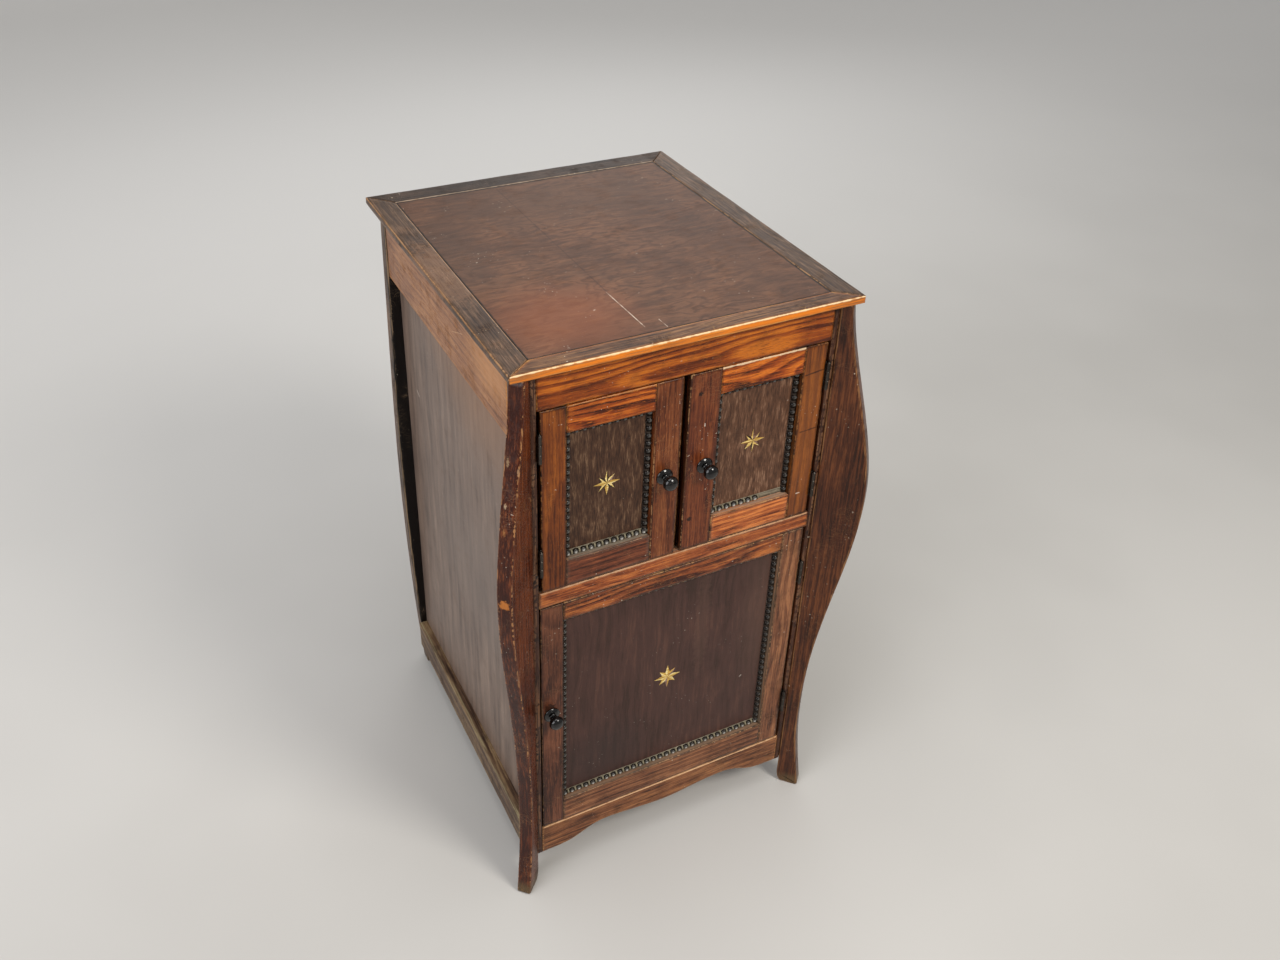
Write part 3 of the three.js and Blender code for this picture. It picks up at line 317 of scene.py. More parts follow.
class Finish(Graph):
    """The graph of a new material, with its shader and each point's place on the object in mm."""

    def __init__(self, name):
        self.material = bpy.data.materials.new(name)
        self.material.use_nodes = True
        super().__init__(self.material.node_tree)
        self.tree.nodes.clear()
        self.shader = self.add("ShaderNodeBsdfPrincipled", {"Specular IOR Level": 0.23})
        output = self.add("ShaderNodeOutputMaterial")
        self.tree.links.new(self.shader.outputs[0], output.inputs[0])
        self.place = self.get("Object", "ShaderNodeTexCoord") * (1000, 1000, 1000)

    def grained(self, axis):
        """Grain coordinates: along the grain, across it and into the board."""
        if axis is None:
            return self.attribute("grain", "Vector")
        x, y, z = self.axes(self.place)
        order = (x, y, z) if axis == "X" else (z, x, y)
        return self.join(*order) + (0, 31, 64)

    def spotted(self, colour, spots):
        """Stains about points, each with its reach; a few are painted shade, a painted shadow or painted
        sheen instead. Small ones have a ragged rim, broad ones fade.
        """
        for centre, reach, tinge, share in spots:
            size = min(reach)
            ragged, solid = (1.5, 0.6) if size < 20 else (0.3, 0.2)
            blotch = self.noise(self.place, 3.0, 0.65, max(1.6, 0.45 * size)) - 0.5
            far = self.vector("LENGTH", (self.place - centre) / reach) + blotch * ragged
            colour = self.mix((1.0 - self.band(far, solid, 1.0)) * share, colour, tinge)
        return colour

    def lined(self, colour, lines):
        """Scratches from start to end, broken and uneven in width; one is a painted highlight along an
        arris.
        """
        for start, end, width, tinge, share in lines:
            along = Vector(end) - Vector(start)
            gone = self.place - start
            reach = self.vector("DOT_PRODUCT", gone, list(along))
            part = self.math("DIVIDE", reach, along.length_squared, clamp=True)
            away = self.vector("LENGTH", gone - self.join(part, part, part) * list(along))
            uneven = (self.noise(self.place, 2.0, 0.6, 9) - 0.5) * (1.8 * width)
            on = 1.0 - self.band(away + uneven, width * 0.35, width)
            colour = self.mix(on * share, colour, tinge)
        return colour

    def done(self, inputs, *bumps):
        """Feeds the shader and stacks its bumps, each a height, a distance in mm and a strength."""
        for key, value in inputs.items():
            self.feed(self.shader.inputs[key], value)
        normal = None
        for height, distance, strength in bumps:
            inputs = {"Height": height, "Distance": distance * MM, "Strength": strength, "Normal": normal}
            normal = self.get(0, "ShaderNodeBump", inputs)
        self.feed(self.shader.inputs["Normal"], normal)
        return self.material


def oak(name, colours, gap, figure, streak, fleck=0.3, axis=None, wear=1.6, rub=0.25, seam=0.0,
        grime=0.45, rough=0.36, edge=None, spots=(), lines=()):
    """Stained and varnished oak, in dark, middle and light and where it is worn. Edge gives the colour
    and share of the walls round a board's face."""
    dark, mid, light, worn = f"{colours} #c99a62".split()[:4]
    g = Finish(name)
    wood = g.use(OAK_FIGURE, Grain=g.grained(axis), Ring_Gap=gap)
    stain = g.use(MOTTLE, Position=g.place)
    marks = g.use(HANDLING, Position=g.place)
    tone = (wood["Rings"] * figure + wood["Streaks"] * streak) / (figure + streak)
    tone = g.math("ADD", tone, (stain["Patch"] - 0.5) * 0.45, clamp=True)
    colour = g.mix(g.band(tone, 0.05, 0.55), dark, mid)
    colour = g.mix(g.band(tone, 0.5, 1.0), colour, light)
    colour = g.mix(wood["Pores"] * 0.75, colour, dark)
    colour = g.mix(wood["Flecks"] * fleck, colour, light)
    colour = g.mix(stain["Grime"] * grime, colour, "#1c110c")
    if axis is None:
        lift = 1.0 + g.attribute("tint") * 0.1
        colour = g.mix(1.0, colour, g.join(lift, lift, lift), "MULTIPLY")
    # Edge colours the walls round the face; on the stiles' inner walls it is painted shade in the panel
    # recess, so the rubbed mix there is shade, not wear.
    if edge is not None:
        rubbed = g.mix(g.band(wood["Streaks"], 0.4, 1.3), edge[0], colour)
        colour = g.mix(g.attribute("wall") * edge[1], colour, rubbed)
    colour = g.spotted(colour, spots)
    dull = g.band(stain["Grime"] + wood["Pores"], 0.0, 1.6, rough - 0.06, rough + 0.22)
    if axis is None:
        arris = g.attribute("arris")
        rubs = g.use(ARRIS_WEAR, Arris=arris, Position=g.place, Width=wear, Amount=rub)
        bare = g.math("MAXIMUM", rubs["Worn"] * 0.6, rubs["Chips"] * 0.7)
        dirt = (1.0 - g.band(arris, 0.1, 2.4)) * g.band(stain["Grime"], 0.0, 0.8, 0.6 * seam, seam)
        colour = g.mix(dirt, colour, "#120906")
        colour = g.mix(bare, colour, g.mix(g.band(wood["Streaks"], 0.1, 0.8), worn, colour))
        dull = dull + bare * 0.2
    colour = g.mix(marks["Scratches"] * 0.35, colour, worn)
    colour = g.mix(marks["Specks"] * 0.7, colour, "#d8c9b4")
    colour = g.lined(colour, lines)
    return g.done({"Base Color": colour, "Roughness": dull},
                  (wood["Pores"], -0.12, 0.5), (wood["Streaks"], 0.15, 0.35),
                  (marks["Scratches"], -0.15, 0.4), (stain["Patch"], 0.4, 0.3))


def front_oak(name, colours, gap, figure, streak=0.6, fleck=0.4, rough=0.34, **more):
    """Oak of the front, the posts and the doors: hardly worn, with dirt in its seams."""
    return oak(name, colours, gap, figure, streak, fleck, wear=1.1, rub=0.02, seam=0.8, rough=rough, **more)


def ply(name, colours, axis, streak, swirl, rough, crisp=0.2, grime=0.4, patch=0.4, rotary=0.0, vein=None,
        spots=(), lines=()):
    """A sheet of veneered board: fine long streaks that swirl a little, over rotary-cut rings."""
    dark, mid, light = colours.split()
    g = Finish(name)
    grain = g.grained(axis)
    twist = g.get(1, "ShaderNodeTexNoise", {"Vector": grain, "Scale": 0.011, "Detail": 2.0})
    shifted = grain + (twist - (0.5, 0.5, 0.5)) * (0, swirl * 2, swirl * 2)
    stain = g.use(MOTTLE, Position=g.place)
    marks = g.use(HANDLING, Position=g.place)
    run, wide = streak
    long = g.band(g.noise(shifted, 3.0, 0.6, (run, wide, wide)), 0.5 - crisp, 0.5 + crisp)
    broad = g.band(g.noise(shifted, 2.0, 0.55, (run * 2.2, wide * 5, wide * 5)), 0.3, 0.7)
    fine = g.band(g.noise(shifted, 1.0, 0.5, (14, 0.8, 0.8)), 0.55, 0.75)
    tone = g.math("ADD", long * 0.5 + broad * 0.5, (stain["Patch"] - 0.5) * patch, clamp=True)
    colour = g.mix(g.band(tone, 0.05, 0.55), dark, mid)
    colour = g.mix(g.band(tone, 0.55, 1.0), colour, light)
    contour = g.math("FRACT", g.noise(g.place, 4.0, 0.55, (170, 70, 70)) * 15.0)
    contour = g.band(contour, 0.0, 0.5) * g.band(contour, 1.0, 0.75)
    contour = contour * g.band(stain["Patch"], 0.1, 0.8, 0.25, 1.0)
    colour = g.mix(contour * rotary, colour, vein or light)
    colour = g.mix(fine * 0.35, colour, dark)
    colour = g.mix(stain["Grime"] * grime, colour, dark)
    colour = g.spotted(colour, spots)
    colour = g.mix(marks["Scratches"] * 0.22, colour, light)
    colour = g.mix(marks["Specks"] * 0.5, colour, "#cfc3b2")
    colour = g.lined(colour, lines)
    dull = g.band(stain["Grime"], 0.0, 1.0, rough - 0.01, rough + 0.05)
    return g.done({"Base Color": colour, "Roughness": dull},
                  (fine, -0.08, 0.4), (long, 0.1, 0.3), (stain["Patch"], 0.5, 0.25))


def metal(name, colours, rough, metallic=1.0, pitting=0.3, coat=0.0):
    """Plated or painted metal in its clean, stained and worn colour, dulled and pitted unevenly."""
    clean, stained, worn = colours.split()
    g = Finish(name)
    age = g.use(MOTTLE, Position=g.place)
    marks = g.use(HANDLING, Position=g.place)
    pits = g.band(g.noise(g.place, 3.0, 0.6, 1.8), 0.55, 0.72)
    surface = g.mix(age["Grime"] * (pitting + 0.35), clean, stained)
    surface = g.mix(pits * pitting, surface, stained)
    surface = g.mix(marks["Scratches"] * 0.4, surface, worn)
    dull = g.band(age["Grime"] + pits, 0.0, 1.6, rough, rough + 0.3)
    return g.done({"Base Color": surface, "Metallic": metallic, "Coat Weight": coat, "Roughness": dull},
                  (pits, -0.06, 0.35), (marks["Scratches"], -0.05, 0.3))


def bead_metal(name, dark, pale, bright):
    """Dark turned beads with dusty reels between them, and a painted highlight along the top of each bead.
    """
    g = Finish(name)
    age = g.use(MOTTLE, Position=g.place)
    reel = g.attribute("reel")
    surface = g.mix(age["Dust"] * 0.35, dark, pale)
    surface = g.mix(reel * g.band(age["Dust"], 0.0, 1.0, 0.7, 1.0), surface, pale)
    surface = g.mix(age["Grime"] * 0.4, surface, "#0d0a09")
    # Painted highlight: near white on the top of each bead.
    surface = g.mix(g.attribute("crown") * bright, surface, "#f0eee6")
    dull = g.band(reel + age["Grime"], 0.0, 1.0, 0.2, 0.6)
    return g.done({"Base Color": surface, "Metallic": (1.0 - reel) * 0.1, "Roughness": dull},
                  (age["Dust"], 0.05, 0.3))


# ---- meshes

def linked(name, data):
    """A new object in the scene."""
    thing = bpy.data.objects.new(name, data)
    bpy.context.scene.collection.objects.link(thing)
    return thing


def finished(bm, name, smooth):
    """Closes a bmesh into an object in metres, shaded smooth except over sharp edges."""
    bmesh.ops.remove_doubles(bm, verts=bm.verts, dist=0.004)
    bmesh.ops.recalc_face_normals(bm, faces=bm.faces)
    mesh = bpy.data.meshes.new(name)
    bmesh.ops.scale(bm, vec=(MM, MM, MM), verts=bm.verts)
    bm.to_mesh(mesh)
    bm.free()
    mesh.shade_smooth()
    mesh.set_sharp_from_angle(angle=math.radians(smooth))
    return linked(name, mesh)


def traced(points, ease, step):
    """An outline cut into short runs. Each point has its place, its mitre's foot and shift, whether a
    corner is there, and the distance to the nearest corner along the outline."""
    points = [Vector(p) for p in points]
    if sum(a.x * b.y - b.x * a.y for a, b in zip(points, points[1:] + points[:1])) < 0:
        points.reverse()
    found = []
    for i, here in enumerate(points):
        before = (here - points[i - 1]).normalized()
        leg = points[(i + 1) % len(points)] - here
        after = leg.normalized()
        left = Vector((-before.y, before.x))
        right = Vector((-after.y, after.x))
        shift = (left + right) / max(0.3, 1 + left.dot(right))
        found.append((here, shift, before.dot(after) < 0.9, after, leg.length))
    runs = []
    for i, (here, shift, corner, after, length) in enumerate(found):
        onward, next_corner = found[(i + 1) % len(found)][1:3]
        if corner:
            runs.append([here - found[i - 1][3] * ease, here, shift, True])
            runs.append([here + after * ease, here, shift, True])
        else:
            runs.append([here, here, shift, False])
        stops = set()
        if corner and length > 2.5 * RIM:
            stops.add(RIM)
        if next_corner and length > 2.5 * RIM:
            stops.add(length - RIM)
        first = RIM if corner else 0.0
        last = length - (RIM if next_corner else 0.0)
        count = int((last - first) / step)
        for k in range(1, count):
            stops.add(first + (last - first) * k / count)
        for stop in sorted(stops):
            point = here + after * stop
            runs.append([point, point, shift.lerp(onward, stop / length), False])
    walked = [0.0]
    for a, b in zip(runs, runs[1:]):
        walked.append(walked[-1] + (b[0] - a[0]).length)
    total = walked[-1] + (runs[0][0] - runs[-1][0]).length
    corners = [w for w, run in zip(walked, runs) if run[3]]
    for run, at in zip(runs, walked):
        gaps = [min(abs(at - c), total - abs(at - c)) for c in corners]
        run.append(min(gaps, default=RIM * 2))
    return runs


class Timber:
    """Collects sawn pieces of one object, with the distance to the arris and the grain at each point."""

    def __init__(self, name, along, face, pith=None):
        self.name = name
        self.bm = bmesh.new()
        layers = self.bm.verts.layers
        self.arris, self.wall, self.tint = [layers.float.new(word) for word in ("arris", "wall", "tint")]
        self.grain = layers.float_vector.new("grain")
        chance = random.Random(name)
        self.shade = chance.uniform(-1, 1)
        heart = pith or (chance.uniform(-45, 45), chance.uniform(25, 80))
        self.offset = Vector((chance.uniform(-900, 900), heart[0], heart[1]))
        self.along = along
        self.face = face
        self.across = face.cross(along)
        self.centre = None

    def point(self, place, spot, arris, wall):
        at = place @ spot
        vert = self.bm.verts.new(at)
        vert[self.arris] = arris
        vert[self.wall] = wall
        vert[self.tint] = self.shade
        off = at - self.centre
        grain = Vector((off.dot(self.along), off.dot(self.across), off.dot(self.face)))
        vert[self.grain] = grain + self.offset
        return vert

    def cut(self, outline, depth, place, ease=EASE, rim=RIM, step=14.0):
        """One piece: the outline drawn in place's XY plane, running depth along its Z, arrises eased."""
        runs = traced(outline, ease, step)
        if self.centre is None:
            self.centre = place @ Vector((*runs[0][0], depth / 2))
        levels = [(rim, 0.0, rim, 0.0), (1.0, 0.0, 0.2, 0.2), (0.29, 0.29, 0.0, 0.5), (0.0, 1.0, 0.2, 0.8)]
        rings = []
        for turned in (False, True):
            part = []
            for inset, down, arris, wall in levels:
                ring = []
                for spot, foot, shift, _, clear in runs:
                    rub = ease * (1.0 + 0.55 * noise.noise(Vector((spot.x, spot.y, 40.0 * turned)) * 0.035))
                    back = rim if inset == rim else inset * rub
                    flat = spot if back == 0 else foot + shift * back
                    deep = down * rub
                    at = Vector((*flat, depth - deep if turned else deep))
                    ring.append(self.point(place, at, min(arris, max(clear, arris * 0.5)), wall))
                part.append(ring)
            rings.append(part)
        middle = [depth / 2]
        if depth > 3 * RIM:
            count = max(1, int((depth - 2 * RIM) / 60))
            middle = [RIM + (depth - 2 * RIM) * k / count for k in range(count + 1)]
        walls = []
        for deep in middle:
            near = min(deep, depth - deep)
            walls.append([self.point(place, Vector((*run[0], deep)), min(near, run[4], 2 * RIM), 1.0)
                          for run in runs])
        stack = rings[0] + walls + rings[1][::-1]
        skinned(self.bm, stack)
        self.bm.faces.new(stack[0][::-1])
        self.bm.faces.new(stack[-1])
        return self

    def done(self):
        return finished(self.bm, self.name, 50)


def skinned(bm, rings):
    """Faces between each closed ring of points and the next."""
    for lower, upper in zip(rings, rings[1:]):
        for i in range(len(lower)):
            j = (i + 1) % len(lower)
            bm.faces.new((lower[i], lower[j], upper[j], upper[i]))


def frame_of(x_axis, y_axis, z_axis, origin):
    matrix = Matrix((x_axis, y_axis, z_axis)).transposed().to_4x4()
    matrix.translation = origin
    return matrix


def upright(y):
    """For an outline drawn in X and Z that runs back from y."""
    return frame_of(X, Z, Y, Vector((0, y, 0)))


def raised(z):
    """For an outline drawn in X and Y that runs up from z."""
    return Matrix.Translation((0, 0, z))


def rectangle(x0, y0, x1, y1):
    return [(x0, y0), (x1, y0), (x1, y1), (x0, y1)]


def board(name, low, high, along=None, pith=None, ease=EASE):
    """A straight board between two corners, its face across its thinnest side."""
    low, high = Vector(low), Vector(high)
    size = high - low
    thin = min(range(3), key=lambda k: size[k])
    long = along if along is not None else max(range(3), key=lambda k: size[k])
    u, v = [k for k in range(3) if k != thin]
    place = frame_of(AXES[u], AXES[v], AXES[thin], AXES[thin] * low[thin])
    rim = min(RIM, 0.3 * min(size[u], size[v]))
    timber = Timber(name, AXES[long], AXES[thin], pith)
    outline = rectangle(low[u], low[v], high[u], high[v])
    return timber.cut(outline, size[thin], place, min(ease, size[thin] * 0.3), rim).done()


def dressed(piece, body, slot, material, *nodes):
    """Gives a piece its body, finish and the CAD nodes that it stands for. Slot is not used."""
    piece.data.materials.clear()
    piece.data.materials.append(material)
    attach(piece, body)
    if nodes:
        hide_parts(*nodes)
    return piece


def lathe(name, profile, place, segments):
    """A turned piece: radius and height pairs, spun about place's Z."""
    bm = bmesh.new()
    rings = []
    for radius, height in profile:
        ring = []
        for k in range(segments):
            angle = TURN * k / segments
            spot = Vector((radius * math.cos(angle), radius * math.sin(angle), height))
            ring.append(bm.verts.new(place @ spot))
        rings.append(ring)
    skinned(bm, rings)
    return finished(bm, name, 40)


def curve_through(points, count):
    """A smooth line through points in a plane."""
    found = []
    ends = [points[0], *points, points[-1]]
    for i in range(1, len(ends) - 2):
        p0, p1, p2, p3 = (Vector(p) for p in ends[i - 1:i + 3])
        for k in range(count):
            t = k / count
            found.append(0.5 * (2 * p1 + (p2 - p0) * t + (2 * p0 - 5 * p1 + 4 * p2 - p3) * t * t
                                + (3 * p1 - p0 - 3 * p2 + p3) * t ** 3))
    found.append(Vector(points[-1]))
    return found


def bezier(p0, p1, p2, p3, count):
    """Points of a cubic curve after its start."""
    p0, p1, p2, p3 = Vector(p0), Vector(p1), Vector(p2), Vector(p3)
    found = []
    for k in range(1, count + 1):
        t = k / count
        s = 1 - t
        found.append(p0 * s ** 3 + p1 * 3 * s * s * t + p2 * 3 * s * t * t + p3 * t ** 3)
    return found


def joined(name, pieces):
    """One object from several, their meshes together."""
    bm = bmesh.new()
    for piece in pieces:
        bm.from_mesh(piece.data)
    mesh = bpy.data.meshes.new(name)
    bm.to_mesh(mesh)
    bm.free()
    for piece in pieces:
        bpy.data.objects.remove(piece)
    return linked(name, mesh)


# ---- finishes: spots and lines are marks that the photograph shows, save the painted shade, painted shadow, painted sheen and painted highlights named where they stand

FACE_Y = -242.3
PANEL_Y = -231.8
LID_Z = 890
LID_PANEL_Z = 889


def on_front(x0, z0, x1, z1, width, tinge, share):
    """A line on the front's face."""
    return (x0, FACE_Y, z0), (x1, FACE_Y, z1), width, tinge, share


def on_lid(z, x0, y0, x1, y1, width, tinge, share):
    """A line on the lid."""
    return (x0, y0, z), (x1, y1, z), width, tinge, share


lid_rail_oak = oak(
    "lid rail oak", "#2f2018 #4f3b2b #745946 #b9916a", 3.2, 0.35, 1.0, wear=1.5, rub=0.1, rough=0.42,
    grime=0.15,
    spots=[((-222, 20, 888), (40, 110, 12), "#75553f", 0.5)],
    lines=[on_lid(LID_Z, -207.5, -200, -207.5, 250, 0.9, "#a88464", 0.5),
           on_lid(LID_Z, -240, -250, -240, 290, 1.6, "#a87a50", 0.5)])
lid_back_oak = oak(
    "lid back oak", "#1a110c #33251b #4a372b #8c7058", 3.2, 0.35, 1.0, 0.25, wear=1.2, rub=0.05, rough=0.45,
    grime=0.35, lines=[on_lid(LID_Z, -206, 255.5, 206, 255.5, 1.2, "#b3a08c", 0.6)])
# The pale cream line along the lid's front upper arris is a painted highlight.
lid_front_oak = oak(
    "lid front oak", "#2e1b11 #5e3f2a #86603e #d9a862", 3.2, 0.4, 1.0, wear=2.0, rough=0.4,
    edge=("#e07c1e", 1.0), lines=[on_lid(LID_Z, -240, -253, 240, -253, 1.8, "#e9cda0", 0.85)])
top_rail_oak = front_oak(
    "front top rail oak", "#491b07 #883f11 #b9661c #c9853a", 6.5, 1.0, fleck=0.3, rough=0.33, grime=0.3)
bright_rail_oak = front_oak(
    "door top rail oak", "#381305 #8e3e12 #c96c21 #d2893c", 5.5, 1.0, 0.7, 0.5, 0.32, grime=0.3,
    lines=[on_front(44, 826.5, 166, 826.5, 1.7, "#dcbf9a", 0.85),
           on_front(-165, 826.5, -48, 826.5, 1.0, "#c0834a", 0.6)])
# Near-black stile walls: painted shade on the inner walls round the panel recess.
STILE_WALL_SHADE = ("#140c09", 0.9)
orange_stile_oak = front_oak(
    "orange stile oak", "#401905 #6b3410 #8c4c18 #a9703a", 9.0, 0.45, grime=0.25, edge=STILE_WALL_SHADE,
    spots=[((186, -242, 690), (40, 40, 230), "#9a6236", 0.2)],
    lines=[on_front(169, 785, 196, 788, 1.3, "#2a120a", 0.8),
           on_front(172, 697, 196, 698.5, 1.3, "#2a120a", 0.7),
           on_front(178, 595, 183, 595, 1.1, "#e0d0be", 0.8)])
red_stile_oak = front_oak(
    "red stile oak", "#3a180e #632f19 #864927 #b98a5a", 9.0, 0.3, fleck=0.6, grime=0.3, edge=STILE_WALL_SHADE,
    spots=[((x, FACE_Y, z), (4, 4, 4), "#160c09", 0.9) for x, z in ((14.2, 797.6), (9.6, 606))],
    lines=[on_front(23.3, 748, 23.3, 752, 1.0, "#e6d9c8", 0.9)])
meeting_stile_oak = front_oak(
    "meeting stile oak", "#49200e #6f391d #945932 #b98a5a", 9.0, 0.25, fleck=0.6, grime=0.25)
# The dark spot beside the knob is the knob's painted shadow on the stile.
lower_stile_oak = front_oak(
    "lower stile oak", "#341a11 #583120 #774831 #a67c54", 7.0, 0.4, fleck=0.5, grime=0.3, edge=STILE_WALL_SHADE,
    spots=[((-190, -242, 345), (9, 20, 12), "#1d0f0a", 0.8)])
red_rail_oak = front_oak(
    "red rail oak", "#522310 #964c25 #cb783c #daa366", 6.0, 0.5, 0.8, 0.5, 0.33, grime=0.15,
    edge=("#9a8f7c", 0.6), lines=[on_front(-200, 554, 200, 554, 1.5, "#c99a72", 0.75)])
dark_rail_oak = front_oak(
    "dark rail oak", "#35180d #63321f #8c4e2e #bd8a60", 6.0, 0.4, 0.7, edge=("#8b8373", 0.75))
RAIL_EDGE = ("#7d7160", 0.6)
lower_rail_oak = front_oak(
    "lower rail oak", "#38150a #7f3f1f #b76b34 #c3925e", 5.0, 0.8, 0.8, rough=0.33, edge=RAIL_EDGE)
foot_rail_oak = front_oak(
    "door foot rail oak", "#3e2013 #72452c #9a6744 #b98c62", 7.0, 0.4, 0.7, rough=0.36, edge=RAIL_EDGE)
scroll_oak = oak(
    "scrolled rail oak", "#402010 #7b4a2c #a26c42 #cf9f6c", 6.0, 0.35, 0.8, 0.4, wear=2.0, rub=0.3,
    rough=0.38, lines=[on_front(-200, 105, 200, 105, 1.3, "#d9b088", 0.75)])
post_oak = front_oak("corner post oak", "#261109 #422114 #5b3420 #8d6548", 7.0, 0.35, 0.7)
left_bow_oak = oak(
    "left bow board oak", "#30130a #522514 #733c1f #c08a58", 6.0, 0.35, 0.8, 0.4, wear=1.4, rub=0.0,
    rough=0.3, edge=("#2c1009", 0.88),
    spots=[((-265.3, -282.8, 594), (8, 8, 8), "#b06a2c", 0.85),
           ((-259.4, -272.5, 697), (3, 3, 9), "#9a6a3c", 0.6),
           ((-254.4, -266.1, 728), (2.5, 2.5, 5), "#b9a080", 0.6),
           ((-245.6, -255.9, 785), (2.5, 2.5, 12), "#a88a66", 0.5),
           ((-236.8, -266.9, 772), (2, 2, 10), "#b08a66", 0.5),
           ((-236, -262, 6), (60, 60, 22), "#5f4f34", 0.6)])
right_bow_oak = oak(
    "right bow board oak", "#271209 #452313 #64381e #9d7148", 6.0, 0.35, 0.8, 0.4, wear=1.8, rub=0.3,
    spots=[((236, -262, 6), (60, 60, 22), "#5f4f34", 0.6)],
    lines=[((213, -265, 788), (219, -266, 791), 1.0, "#e0d2bf", 0.9)])
side_rail_oak = oak(
    "side rail oak", "#6b432c #8f6040 #aa7850 #cf8d48", 9.0, 0.25, 0.6, wear=2.6, rub=0.45, grime=0.2,
    rough=0.42, spots=[((-225, -150, 845), (20, 110, 60), "#c48c5a", 0.6)],
    lines=[((-224.7, -204, 879), (-224.7, 250, 879), 3.4, "#d08a42", 0.75),
           ((-224.9, -60, 842), (-224.9, -20, 826), 0.7, "#cfa882", 0.6)])
side_low_oak = oak(
    "side bottom rail oak", "#2e1e16 #5e4634 #886f51 #ac9d77", 14.0, 0.3, 0.5, 0.1, wear=3.0, rub=0.5,
    grime=0.5, rough=0.5)
# The near-black strips on the faces at y 254 are painted shade, where the bow boards keep the light off.
back_post_oak = oak(
    "back post oak", "#2b1c15 #5c4536 #80634d #a58a6c", 9.0, 0.3, 0.7, wear=1.8, rub=0.3, rough=0.45,
    spots=[((x, 254, 400), (60, 6, 3000), "#0d0807", 1.0) for x in (-218, 218)])
inside_oak = oak(
    "inside oak", "#523a26 #7b5b3c #987550 #b0916a", 8.0, 0.5, 0.6, wear=1.2, rub=0.1, rough=0.55)
inside_board = oak("inside board", "#5a4029 #7a5a3b #94724d", 8.0, 0.4, 0.7, axis="X", rough=0.55)
board_front = oak("motor board oak", "#3a1d10 #6f4426 #94643a", 9.0, 0.6, 0.6, axis="X", rough=0.38)
lid_ply = ply(
    "lid panel veneer", "#3f281b #523524 #6f4a32", "X", (26, 1.6), 16, 0.42, 0.28, grime=0.06, patch=0.2,
    rotary=0.26, vein="#8e6346",
    spots=[((-130, -150, 889), (130, 120, 90), "#824829", 0.55),
           ((20, 180, 889), (260, 130, 90), "#4f3626", 0.6),
           ((-190, 60, 889), (70, 150, 90), "#46342a", 0.5),
           ((160, -100, 889), (80, 110, 70), "#4b3020", 0.5)],
    lines=[on_lid(LID_PANEL_Z, *line) for line in (
        (-57, 246, -52, -110, 1.0, "#2f1c14", 0.6), (-53, -111, -50, -210, 0.8, "#ddccb8", 0.8),
        (-26, -200, -25, -220, 0.7, "#d0bca8", 0.7), (-206, 253, 206, 253, 1.8, "#0d0705", 0.95),
        (-206, -224, 206, -224, 1.4, "#140b08", 0.8), (-205, -224, -205, 253, 1.6, "#0d0705", 0.9),
        (205, -224, 205, 253, 2.2, "#0d0705", 0.95))])
# The warm spot high up and the greyer one lower down are partly the veneer's tone and partly painted sheen.
side_ply = ply(
    "side panel veneer", "#5a4c44 #756358 #8d796b", "Z", (70, 2.6), 5, 0.4, 0.5, grime=0.04, patch=0.15,
    spots=[((-211, -60, 800), (90, 260, 190), "#8f6a4e", 0.6),
           ((-211, -60, 420), (90, 260, 170), "#756860", 0.45)],
    lines=[((-210.9, 205, 606), (-210.9, 196, 600), 1.0, "#d9ccbc", 0.8)])
door_ply = ply("left panel veneer", "#2f1c12 #482f20 #775b44", "Z", (11, 1.1), 2, 0.45, 0.17, patch=0.2)
right_ply = ply("right panel veneer", "#40291c #5d3e2c #8a6851", "Z", (11, 1.1), 2, 0.45, 0.17, patch=0.2)
lower_ply = ply(
    "lower panel veneer", "#36231c #452d27 #56392f", "Z", (40, 1.6), 8, 0.42, 0.4, grime=0.12, patch=0.25,
    spots=[((50, -232, 400), (14, 30, 120), "#5f4539", 0.25),
           ((-100, -232, 200), (90, 30, 90), "#2e2422", 0.5),
           ((180, -232, 380), (90, 60, 220), "#5d4439", 0.5)],
    lines=[((124, PANEL_Y, 262), (127, PANEL_Y, 264), 1.0, "#d9cfc0", 0.9)])
plain_ply = ply("inside ply", "#6b4c30 #94714b #b08d63", "Z", (120, 3.0), 20, 0.62)
cloth = ply("turntable felt", "#2c1a17 #4a2a25 #5f3a33", "X", (3, 3), 4, 0.95)
black_lacquer = metal("black lacquer", "#060505 #171210 #5a5048", 0.1, 0.0, 0.12, 0.6)
hinge_iron = metal("hinge iron", "#4a4540 #171210 #b9b4aa", 0.32, pitting=0.45)
iron_paint = metal("iron, black painted", "#151414 #3a2a20 #5c5854", 0.45, 0.2)
nickel_plate = metal("nickel plate", "#c9c4b8 #6b6254 #e6e2da", 0.18, pitting=0.2)
bright_steel = metal("bright steel", "#9a9894 #4b433b #c9c6c0", 0.32, pitting=0.35)
horn_tin = metal("horn, painted tin", "#34302b #1c1815 #7a736a", 0.5, 0.3)
# The lowest run: dust on the reels and a full painted highlight on each bead.
bead_finish = bead_metal("beading, dark and dusty", "#17110c", "#91886f", 1.0)
# The upper runs' beads: a darker copy with a faint highlight, painted shade in the recess.
painted_shade_bead_finish = bead_metal("beading, dark", "#15100d", "#382e26", 0.16)
bed_finish = oak(
    "bead bed, dusty", "#463d31 #685f4f #877f6d #b9b09c", 6.0, 0.3, 0.6, wear=0.8, rub=0.2, rough=0.6)
# The bed under the upper runs: a darker copy of the dusty bed, painted shade in the recess.
painted_shade_bed_finish = oak(
    "bead bed, dark", "#120c0a #241a16 #3d3029 #8a8276", 6.0, 0.3, 0.6, wear=0.5, rub=0.05, rough=0.5)
